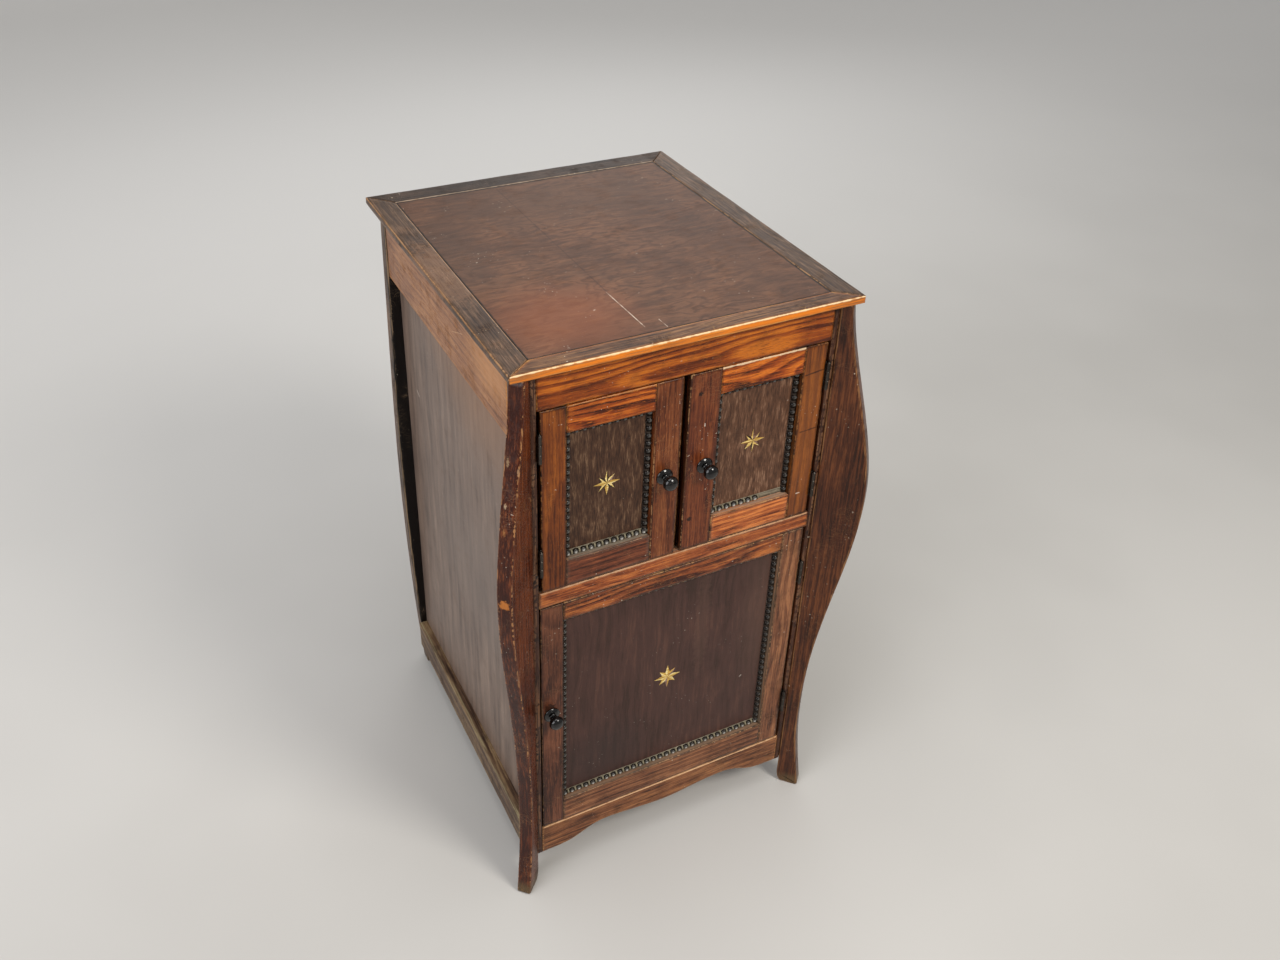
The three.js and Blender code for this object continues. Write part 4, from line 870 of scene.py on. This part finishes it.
# The star's leaves come in lighter and darker copies: partly inlay woods, partly painted reflection that
# lights or shades each facet.
STAR_WOODS_AND_REFLECTIONS = [
    oak(f"star, {word} wood", colours, 3.0, 0.3, 0.5, 0.1, axis=axis, grime=grime, rough=rough)
    for word, colours, axis, grime, rough in (
        ("pale", "#a98440 #dcbf72 #f1e0a6", "X", 0.12, 0.3),
        ("brown", "#5e4334 #86675a #a08372", "X", 0.2, 0.4),
        ("dark", "#160d0a #25160f #3a241a", "Z", 0.2, 0.35),
        ("gold", "#8a6527 #b98f3f #d6b05a", "X", 0.12, 0.3))]


# ---- cabinet woodwork

# The corner post's plan: a chamfer in front, with a step behind it for the side panel.
POST_FACE = 6.9
STEP_X = SIDE - 13.7
STEP_Y = 25
POST_DEEP = 35
POST_PLAN = [(OPENING, 0), (OPENING + POST_FACE, 0), (SIDE, SIDE - OPENING - POST_FACE), (SIDE, POST_DEEP),
             (STEP_X, POST_DEEP), (STEP_X, STEP_Y), (OPENING, STEP_Y)]
# The board that stands out from the chamfer: outward from it and height, down its edge to the foot.
BOW_THICK = 20.2
BOW_INNER = (210.416, -242.285)
BOW_OUTER = (224.7, -228.001)
BOW_EDGE = [
    Vector((0.3, TOP)), Vector((0.3, 22)), *bezier((0.3, 22), (0.3, 7.3), (3.9, 0), (11, 0), 6),
    Vector((30.5, 0)), *bezier((30.5, 0), (34.2, 0), (35.5, 1.8), (35, 5.5), 5),
    *bezier((35, 5.5), (28, 60), (21, 95), (21, 168), 16),
    *bezier((21, 168), (21, 354.6), (67.5, 464.8), (67.5, 592), 30),
    *bezier((67.5, 592), (67.5, 687), (21.5, 793.6), (15.5, TOP), 24)]
BACK_POST_INNER = 189.7
BACK_POST_BELLY = [(214.7, 0), (224.7, 168), (231.2, 430), (226.9, 778), (SIDE, TOP)]
BACK_POST_EDGE = [(BACK_POST_INNER, 0), *curve_through(BACK_POST_BELLY, 14), (BACK_POST_INNER, TOP)]


def cabinet_piece(piece, slot, material, *nodes):
    dressed(piece, "cabinet", slot, material, *nodes)


for word, sign in (("left", -1), ("right", 1)):
    post = Timber(f"corner_post_{word}", Z, OUT, (20 * sign, 60))
    plan = [(sign * x, FRONT + y) for x, y in POST_PLAN]
    post.cut(plan, TOP - post_low.z, raised(post_low.z), 1.0, 1.5, 60)
    cabinet_piece(post.done(), "oak_dark", post_oak, f"corner_post_{word}")

    out = Vector((sign, -1, 0)).normalized()
    through = Vector((1, sign, 0)).normalized()
    x, y = BOW_OUTER if sign < 0 else BOW_INNER
    bow = Timber(f"bow_board_{word}", Z, through, (14, 46))
    bow.cut(BOW_EDGE, BOW_THICK, frame_of(out, Z, through, Vector((sign * x, y, 0))), 1.8)
    finish = left_bow_oak if sign < 0 else right_bow_oak
    cabinet_piece(bow.done(), "oak_dark", finish, f"bow_board_{word}")

    back_low, back_high = extent(f"back_post_{word}")
    post = Timber(f"back_post_{word}", Z, OUT, (-30 * sign, 55))
    line = [(sign * x, z) for x, z in BACK_POST_EDGE]
    post.cut(line, back_high.y - back_low.y, upright(back_low.y), 1.6, RIM, 30)
    cabinet_piece(post.done(), "oak_side", back_post_oak, f"back_post_{word}")

    for end, finish in (("top", side_rail_oak), ("bottom", side_low_oak)):
        node = f"side_{end}_rail_{word}"
        cabinet_piece(board(node, *extent(node), 1, (60, 90), 2.0), "oak_side", finish, node)

for node, finish, heart in (("front_top_rail", top_rail_oak, (8, 34)),
                            ("front_middle_rail", red_rail_oak, (25, 50))):
    cabinet_piece(board(node, *extent(node), 0, heart, 1.3), "oak_front", finish, node)

low, high = extent("front_bottom_rail")
SCROLL = [*bezier((-181.5, 52), (-141.8, 52), (-131.8, 72), (-101.8, 72), 12),
          *bezier((-101.8, 72), (-56.8, 72), (-40, 64), (0, 64), 12)]
line = [Vector(p) for p in ((-OPENING, high.z), (-OPENING, low.z), (-181.5, low.z))] + SCROLL
line += [Vector((-p.x, p.y)) for p in reversed(line[:-1])]
rail = Timber("front_bottom_rail", X, OUT, (-20, 60))
rail.cut(line, high.y - low.y, upright(low.y), 1.6, 5.0)
cabinet_piece(rail.done(), "oak_front", scroll_oak, "front_bottom_rail")

for node in ("back_top_rail", "back_bottom_rail"):
    low, high = extent(node)
    if node == "back_top_rail":
        high.y = back_high.y
    cabinet_piece(board(node, low, high, 0, None, 1.2), "oak_dark", inside_oak, node)


# ---- the doors

DOOR_EDGE = OPENING - HINGE_GAP
REBATE = 7.5
REBATE_DEEP = 10


class Door:
    """One framed door, hinged on the left where side is -1 and on the right where it is 1."""

    def __init__(self, word, side, hinges):
        self.name = f"{word}_door"
        self.side = side
        self.hinges = hinges
        low, high = extent(f"{self.name}_frame")
        self.left = -DOOR_EDGE if side < 0 else low.x
        self.right = DOOR_EDGE if side > 0 else high.x
        self.bottom, self.top = low.z, high.z
        self.inner_low, self.inner_high = extent(f"{self.name}_beading")
        self.panel = extent(f"{self.name}_panel")[0].y

    def wood(self, piece, material):
        dressed(piece, self.name, "oak_front", material, f"{self.name}_frame")

    def part(self, name, x0, x1, z0, z1, along, material, heart):
        low, high = (x0, FRONT, z0), (x1, RAIL_BACK, z1)
        self.wood(board(f"{self.name}_{name}", low, high, along, heart, 1.2), material)

    def frame(self, left, right, upper, lower, rebated=False):
        """Two stiles with the rails between them. A meeting stile's edge is rebated in front."""
        low, high = self.inner_low, self.inner_high
        self.part("left_stile", self.left, low.x, self.bottom, self.top, 2, left, (-20, 60))
        self.part("top_rail", low.x, high.x, high.z, self.top, 0, upper, (6, 30))
        self.part("bottom_rail", low.x, high.x, self.bottom, low.z, 0, lower, (-12, 48))
        if rebated:
            step_x, step_y = self.right - REBATE, FRONT + REBATE_DEEP
            plan = [(high.x, FRONT), (step_x, FRONT), (step_x, step_y), (self.right, step_y),
                    (self.right, RAIL_BACK), (high.x, RAIL_BACK)]
            stile = Timber(f"{self.name}_right_stile", Z, OUT, (24, 66))
            stile.cut(plan, self.top - self.bottom, raised(self.bottom), 1.2, 2.0, 30)
            self.wood(stile.done(), right)
        else:
            self.part("right_stile", high.x, self.right, self.bottom, self.top, 2, right, (24, 66))


KNOB_CURVE = [(11.5, 0.5), (11.4, 1.8), (8.5, 4.2), (5.2, 5.8), (4.8, 8), (6, 10), (9, 13), (10.3, 16.8),
              (9, 20.6), (6, 23.2)]
KNOB = [(0, 0), (11.2, 0), *curve_through(KNOB_CURVE, 5), (3.2, 24.0), (0, 24.2)]


def knob(door):
    """A turned knob: a rose against the stile, a neck and a ball."""
    name = f"{door.name}_knob"
    low, high = extent(name)
    centre = (low + high) / 2
    place = frame_of(X, Z, OUT, Vector((centre.x, FRONT, centre.z)))
    dressed(lathe(name, KNOB, place, 48), door.name, "black", black_lacquer, name)


# ---- bead and reel, by geometry nodes

def turned_strip():
    """A half-round strip turned into beads with two thin reels between each pair, along X."""
    tree = bpy.data.node_groups.new("bead and reel", "GeometryNodeTree")
    labels = ("Length", "Pitch", "Bead Radius", "Turned")
    for label, kind in zip(labels, (FLOAT, FLOAT, FLOAT, "NodeSocketMaterial")):
        tree.interface.new_socket(label, in_out="INPUT", socket_type=kind)
    tree.interface.new_socket("Geometry", in_out="OUTPUT", socket_type="NodeSocketGeometry")
    g = Graph(tree)
    given = g.add("NodeGroupInput").outputs
    length, pitch, widest, turned = [Value(g, given[label]) for label in labels]
    beads = length / pitch
    flat = {"Size X": 1.0, "Size Y": 1.0, "Vertices X": beads * 16.0 + 1.0, "Vertices Y": 13}
    shape = g.get("Mesh", "GeometryNodeMeshGrid", flat)
    u, v = g.axes(g.get(0, "GeometryNodeInputPosition"))[:2]
    u = u + 0.5
    angle = (v + 0.5) * TURN
    off = g.math("ABSOLUTE", g.math("FRACT", u * beads + 0.0001) - 0.5)
    ball = off / 0.35
    ball = g.math("SQRT", g.math("MAXIMUM", 1.0 - ball * ball, 0.0))
    reel = g.math("GREATER_THAN", off, 0.375)
    slim = g.math("MAXIMUM", g.math("MAXIMUM", ball, reel * 0.86), 0.3)
    ends = g.math("GREATER_THAN", u, 0.0001) * g.math("LESS_THAN", u, 0.9999)
    radius = slim * widest * ends
    spot = g.join(u * length, radius * g.math("COSINE", angle), radius * g.math("SINE", angle))
    # A painted highlight on each bead, widest on the side that faces the light.
    lit = g.math("MAXIMUM", g.math("COSINE", angle - 0.5), 0.0)
    crown = g.math("POWER", ball, 6.0) * g.math("POWER", lit, 4.0)
    # The attributes are stored on the flat grid, since their fields read its positions.
    for label, value in (("reel", reel), ("crown", crown)):
        named = g.add("GeometryNodeStoreNamedAttribute", {"Geometry": shape, "Name": label},
                      data_type="FLOAT", domain="POINT")
        for socket in named.inputs:
            if socket.name == "Value" and socket.enabled:
                g.feed(socket, value)
        shape = Value(g, named.outputs[0])
    shape = g.get(0, "GeometryNodeSetPosition", {"Geometry": shape, "Position": spot})
    shape = g.get(0, "GeometryNodeMergeByDistance", {"Geometry": shape, "Distance": 0.00001})
    shape = g.get(0, "GeometryNodeRealizeInstances", {"Geometry": shape})
    shape = g.get(0, "GeometryNodeSetMaterial", {"Geometry": shape, "Material": turned})
    g.feed(g.add("NodeGroupOutput").inputs[0], shape)
    return tree


BEAD_PITCH = 11.2
BEAD_RADIUS = 4.1
BED_THICK = 1.4
STRIP = turned_strip()


def bead_run(name, length, beads, place, finish):
    """A run of so many beads, from place's origin along its X."""
    piece = linked(name, bpy.data.meshes.new(name))
    modifier = piece.modifiers.new("Strip", "NODES")
    modifier.node_group = STRIP
    sockets = {item.name: item.identifier for item in STRIP.interface.items_tree if item.in_out == "INPUT"}
    modifier[sockets["Length"]] = length * MM
    modifier[sockets["Pitch"]] = length * MM / beads
    modifier[sockets["Bead Radius"]] = BEAD_RADIUS * MM
    modifier[sockets["Turned"]] = finish
    graph = bpy.context.evaluated_depsgraph_get()
    mesh = bpy.data.meshes.new_from_object(piece.evaluated_get(graph))
    bpy.data.objects.remove(piece)
    place = place.copy()
    place.translation *= MM
    mesh.transform(place)
    return linked(name, mesh)


def beading(door, short=None):
    """Four runs of beads round the panel on a thin bed, the lowest one pale with dust and the other
    three darkened as painted shade. Short is how many beads are left of that run."""
    low, high = door.inner_low, door.inner_high
    inset = BEAD_RADIUS
    across = high.x - low.x
    tall = high.z - low.z
    lowest, others = [], []
    for word, along, x, z, length in (
            ("bottom", X, low.x, low.z + inset, across), ("top", X, low.x, high.z - inset, across),
            ("left", Z, low.x + inset, low.z, tall), ("right", Z, high.x - inset, low.z, tall)):
        beads = round(length / BEAD_PITCH)
        if word == "bottom" and short:
            length, beads = length * short / beads, short
        place = frame_of(along, OUT, along.cross(OUT), Vector((x, door.panel - 1.2, z)))
        runs, finish = (lowest, bead_finish) if word == "bottom" else (others, painted_shade_bead_finish)
        runs.append(bead_run(f"{door.name}_{word}_beads", length, beads, place, finish))
    for label, runs, finish in (("beading", lowest, bead_finish),
                                ("beading_upper", others, painted_shade_bead_finish)):
        beads = joined(f"{door.name}_{label}", runs)
        bm = bmesh.new()
        bm.from_mesh(beads.data)
        bmesh.ops.recalc_face_normals(bm, faces=bm.faces)
        bm.to_mesh(beads.data)
        bm.free()
        beads.data.shade_smooth()
        beads.data.set_sharp_from_angle(angle=math.radians(60))
        dressed(beads, door.name, "beading", finish, f"{door.name}_beading")
    broad = 2 * BEAD_RADIUS
    outer = rectangle(low.x, low.z, high.x, high.z)
    inner = rectangle(low.x + broad, low.z + broad, high.x - broad, high.z - broad)
    place = upright(door.panel - 1.0)
    for label, sides, finish in (("bead_bed", (0,), bed_finish),
                                 ("bead_bed_upper", (1, 2, 3), painted_shade_bed_finish)):
        bed = Timber(f"{door.name}_{label}", X, OUT)
        for k in sides:
            j = (k + 1) % 4
            bed.cut([outer[k], outer[j], inner[j], inner[k]], BED_THICK, place, 0.3, 1.5, 40)
        dressed(bed.done(), door.name, "beading", finish)


# ---- the stars: the woods of each point's two leaves, by their places in the list of star finishes; the leaves are partly inlay woods and partly painted reflection off each facet

STAR_DIAGONAL = 0.84
STAR_WAIST = 0.38
LOWER_STAR_WAIST = 0.42
STARS = {"left": "03 10 20 20 03 02 30 20", "right": "03 01 10 20 03 00 20 01",
         "lower": "30 13 30 30 30 30 13 30"}


def star(door, woods, slender):
    """Eight points, each of two leaves, laid into the panel."""
    name = f"{door.name}_star"
    low, high = extent(name)
    centre = (low + high) / 2
    reach = (high.x - low.x) / 2
    bm = bmesh.new()

    def corner(length, step, y):
        angle = TURN * step / 16
        return bm.verts.new((centre.x + length * math.cos(angle), door.panel + y,
                             centre.z + length * math.sin(angle)))

    hub = corner(0, 0, -0.75)
    back = corner(0, 0, 0.3)
    tips, waists = [], []
    for k in range(8):
        tips.append(corner(reach * (STAR_DIAGONAL if k % 2 else 1.0), 2 * k, -0.1))
        waists.append(corner(reach * slender, 2 * k + 1, -0.3))
    for k, pair in enumerate(woods.split()):
        for edge, wood in (((waists[k - 1], tips[k]), pair[0]), ((tips[k], waists[k]), pair[1])):
            for middle in (hub, back):
                bm.faces.new((middle, *edge)).material_index = int(wood)
    piece = finished(bm, name, 5)
    for wood in STAR_WOODS_AND_REFLECTIONS:
        piece.data.materials.append(wood)
    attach(piece, door.name)
    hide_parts(name)


# ---- hinges

def hinge(line, start, *halves):
    """An iron butt hinge along line's Z from start. Its first half has the outer knuckles and the pin,
    its second the middle knuckle. Each gives its name, body, CAD node and the leaf's boards."""
    third = HINGE_TALL / 3
    end = start + HINGE_TALL
    knuckles = (
        [(start, start + third - KNUCKLE_GAP, KNUCKLE), (start + 2 * third + KNUCKLE_GAP, end, KNUCKLE),
         (start - PIN_PROUD, end + PIN_PROUD, PIN + 0.5)],
        [(start + third + KNUCKLE_GAP, start + 2 * third - KNUCKLE_GAP, KNUCKLE)])
    for turned, (name, body, node, leaves) in zip(knuckles, halves):
        parts = []
        for low, high, radius in turned:
            tall = high - low
            soft = min(0.4, radius * 0.3)
            profile = [(0, 0), (radius - soft, 0), (radius, soft),
                       (radius, tall - soft), (radius - soft, tall), (0, tall)]
            parts.append(lathe("knuckle", profile, line @ raised(low), 24))
        parts += [board("leaf", low, high, None, None, 0.3) for low, high in leaves]
        dressed(joined(name, parts), body, "iron", hinge_iron, node)


def door_hinge(door, index, z0):
    """A hinge in the gap between post and door."""
    third = HINGE_TALL / 3
    post_x = sorted((door.side * OPENING, door.side * (OPENING - LEAF)))
    door_x = sorted((door.side * DOOR_EDGE, door.side * (DOOR_EDGE + LEAF)))
    proud, deep = FRONT - 2.0, FRONT + LEAF_DEEP
    name = f"{door.name}_hinge_{index}"
    word = "left" if door.side < 0 else "right"
    top = z0 + HINGE_TALL
    hinge(Matrix.Translation((door.side * PIN_X, PIN_Y, 0)), z0,
          (f"{name}_post_leaf", "cabinet", f"corner_post_{word}",
           [((post_x[0], proud, z0), (post_x[1], deep, top))]),
          (f"{name}_door_leaf", door.name, f"{door.name}_frame",
           [((door_x[0], proud, z0 + third), (door_x[1], FRONT, z0 + 2 * third)),
            ((door_x[0], FRONT, z0), (door_x[1], deep, top))]))


left_door = Door("left", -1, (585.5, 758.5))
right_door = Door("right", 1, (585.5, 758.5))
lower_door = Door("lower", 1, (167.5, 428.5))
left_door.frame(orange_stile_oak, meeting_stile_oak, bright_rail_oak, dark_rail_oak, rebated=True)
right_door.frame(red_stile_oak, orange_stile_oak, bright_rail_oak, red_rail_oak)
lower_door.frame(lower_stile_oak, foot_rail_oak, lower_rail_oak, foot_rail_oak)
RIGHT_BEADS = 7
for door, beads, woods, slender in ((left_door, None, STARS["left"], STAR_WAIST),
                                    (right_door, RIGHT_BEADS, STARS["right"], STAR_WAIST),
                                    (lower_door, None, STARS["lower"], LOWER_STAR_WAIST)):
    knob(door)
    beading(door, beads)
    star(door, woods, slender)
    for index, z0 in enumerate(door.hinges):
        door_hinge(door, index + 1, z0)


# ---- the lid

LID_X = -extent("lid_left_rail")[0].x
LID_TOP = extent("lid_left_rail")[1].z
LID_BACK = extent("lid_back_rail")[1].y
LID_FRONT = extent("lid_front_rail")[0].y
PANEL_UNDER = extent("lid_panel")[0].z
INNER_X = 206.0
INNER_FRONT = -225.0
INNER_BACK = 254.0
MITRE = 0.2


def cross_rail(outer, inner):
    """The plan of the front or back rail, between the lid's edge and the panel's."""
    return [(-LID_X + MITRE, outer), (LID_X - MITRE, outer),
            (INNER_X - MITRE, inner), (-INNER_X + MITRE, inner)]


def side_rail(side):
    return [(side * LID_X, LID_FRONT + MITRE), (side * INNER_X, INNER_FRONT + MITRE),
            (side * INNER_X, INNER_BACK - MITRE), (side * LID_X, LID_BACK - MITRE)]


# Each rail's plan, and that of the lip under it that carries the panel.
for node, long, plan, lip, finish in (
        ("lid_front_rail", X, cross_rail(LID_FRONT, INNER_FRONT),
         (-200, INNER_FRONT - 2, 200, INNER_FRONT + 6), lid_front_oak),
        ("lid_back_rail", X, cross_rail(LID_BACK, INNER_BACK),
         (-200, INNER_BACK - 6, 200, INNER_BACK + 2), lid_back_oak),
        ("lid_left_rail", Y, side_rail(-1),
         (-INNER_X - 2, INNER_FRONT + 1, -INNER_X + 6, INNER_BACK - 1), lid_rail_oak),
        ("lid_right_rail", Y, side_rail(1),
         (INNER_X - 6, INNER_FRONT + 1, INNER_X + 2, INNER_BACK - 1), lid_rail_oak)):
    rail = Timber(node, long, Z, (18, 52))
    rail.cut(plan, LID_TOP - TOP, raised(TOP), 1.5)
    rail.cut(rectangle(*lip), PANEL_UNDER - TOP, raised(TOP), 0.5, 1.5, 60)
    dressed(rail.done(), "lid", "oak_top", finish, node)

LID_HINGE_X = 150
LID_PIN_Y = 279.015
LID_PIN_Z = 877.0
LID_LEAF_Z = 858.0
for word, side in (("left", -1), ("right", 1)):
    x0 = side * LID_HINGE_X - HINGE_TALL / 2
    third = HINGE_TALL / 3
    hinge(frame_of(Y, Z, X, Vector((0, LID_PIN_Y, LID_PIN_Z))), x0,
          (f"lid_hinge_{word}_fixed_leaf", "cabinet", "back_top_rail",
           [((x0, 276.0, LID_LEAF_Z), (x0 + HINGE_TALL, 277.5, LID_PIN_Z))]),
          (f"lid_hinge_{word}_lid_leaf", "lid", "lid_back_rail",
           [((x0 + third, 279.0, LID_PIN_Z), (x0 + 2 * third, 281.0, 880.4))]))


# ---- CAD pieces that keep their shape

def smoothed(slot, material, *nodes):
    """Copies of CAD nodes with their loose triangles joined and their round faces shaded smooth."""
    for node in nodes:
        source = frame["nodes"][node]
        body = body_of(source)[0]
        bm = bmesh.new()
        bm.from_mesh(source.data)
        bmesh.ops.scale(bm, vec=(1 / MM, 1 / MM, 1 / MM), verts=bm.verts)
        dressed(finished(bm, f"{node}_finished", 35), body, slot, material, node)


def recoated(material, *nodes):
    for node in nodes:
        slots = frame["nodes"][node].material_slots
        for index in range(len(slots)):
            slots[index].material = material


recoated(side_ply, "side_panel_left", "side_panel_right")
recoated(plain_ply, "back_panel")
recoated(lid_ply, "lid_panel")
recoated(door_ply, "left_door_panel")
recoated(right_ply, "right_door_panel")
recoated(lower_ply, "lower_door_panel")
recoated(inside_board, "mouth_board", "record_rack", "shelf_board", "floor_board")
recoated(board_front, "motor_board")
smoothed("nickel", nickel_plate, "turntable", "tonearm_base", "tonearm", "soundbox")
smoothed("iron", iron_paint, "motor_frame", "horn_elbow")
smoothed("steel", bright_steel, "spring_barrel", "governor", "brake_lever", "speed_lever", "crank",
         "crank_escutcheon", "lid_stay", "stay_guide")
smoothed("horn", horn_tin, "horn")
smoothed("cloth", cloth, "turntable_mat")
smoothed("black", black_lacquer, "crank_grip")


# ---- stage, light and camera, in metres

def stage_material():
    """Plain pale floor with a faint unevenness, and painted light that makes it lighter far behind."""
    g = Finish("studio floor")
    shade = g.band(g.noise(g.place, 3.0, 0.5, 900), 0.3, 0.7)
    near = g.mix(shade, "#bbb9b5", "#c4c2be")
    # Painted light: the floor grows paler from near the cabinet towards the backdrop.
    far = g.band(g.axes(g.place)[1], -300.0, 3200.0)
    return g.done({"Base Color": g.mix(far, near, "#efeeec"), "Roughness": 0.9})


def cyclorama():
    """A floor that curves up into a backdrop, far behind the cabinet."""
    bm = bmesh.new()
    profile = [(-6.0, 0), (5.0, 0)]
    for step in range(1, 13):
        angle = step * math.pi / 24
        profile.append((5.0 + 1.5 * math.sin(angle), 1.5 - 1.5 * math.cos(angle)))
    profile.append((6.5, 6.0))
    rows = [[bm.verts.new((x, y, z - 0.0002)) for y, z in profile] for x in (-9.0, 9.0)]
    for i in range(len(profile) - 1):
        bm.faces.new((rows[0][i], rows[0][i + 1], rows[1][i + 1], rows[1][i]))
    bmesh.ops.recalc_face_normals(bm, faces=bm.faces)
    mesh = bpy.data.meshes.new("studio_floor")
    bm.to_mesh(mesh)
    bm.free()
    mesh.shade_smooth()
    mesh.materials.append(stage_material())
    linked("studio_floor", mesh)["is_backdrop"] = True


def lamp(name, place, size, watts, tint="#ffffff"):
    """A round lamp that looks at the cabinet's middle."""
    data = bpy.data.lights.new(name, "AREA")
    data.shape = "DISK"
    data.size = size
    data.energy = watts
    data.color = paint(tint)[:3]
    light = linked(name, data)
    light.location = place
    light.rotation_euler = (Vector((0, 0, 0.5)) - Vector(place)).to_track_quat("-Z", "Y").to_euler()


cyclorama()
lamp("key light", (0.9, -2.3, 2.8), 1.1, 62, "#fffaf2")
lamp("fill light", (-2.6, -1.2, 1.7), 2.4, 52, "#fbfbff")
lamp("top light", (-0.5, -0.2, 3.4), 2.4, 34)
lamp("back light", (1.6, 2.6, 2.4), 2.4, 14)
world = bpy.data.worlds.new("studio")
bpy.context.scene.world = world
world.use_nodes = True
sky = world.node_tree.nodes["Background"]
sky.inputs["Color"].default_value = (0.93, 0.92, 0.91, 1)
sky.inputs["Strength"].default_value = 0.4

CAMERA_AT = Vector((-0.644312, -1.297460, 1.573046))
AZIMUTH = 0.485184
ELEVATION = 0.564424
ROLL = 0.033043
back = Vector((-math.sin(AZIMUTH) * math.cos(ELEVATION), -math.cos(AZIMUTH) * math.cos(ELEVATION),
               math.sin(ELEVATION)))
right = (-back).cross(Z).normalized()
up = right.cross(-back)
lens = bpy.data.cameras.new("camera")
lens.sensor_fit = "HORIZONTAL"
lens.sensor_width = 36.0
lens.lens = 33.699
lens.shift_x = 0.01035
lens.shift_y = -0.06373
camera = linked("camera", lens)
camera.matrix_world = frame_of(right * math.cos(ROLL) + up * math.sin(ROLL),
                               up * math.cos(ROLL) - right * math.sin(ROLL), back, CAMERA_AT)
bpy.context.scene.camera = camera
bpy.context.scene.view_settings.view_transform = "Standard"

low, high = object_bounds()
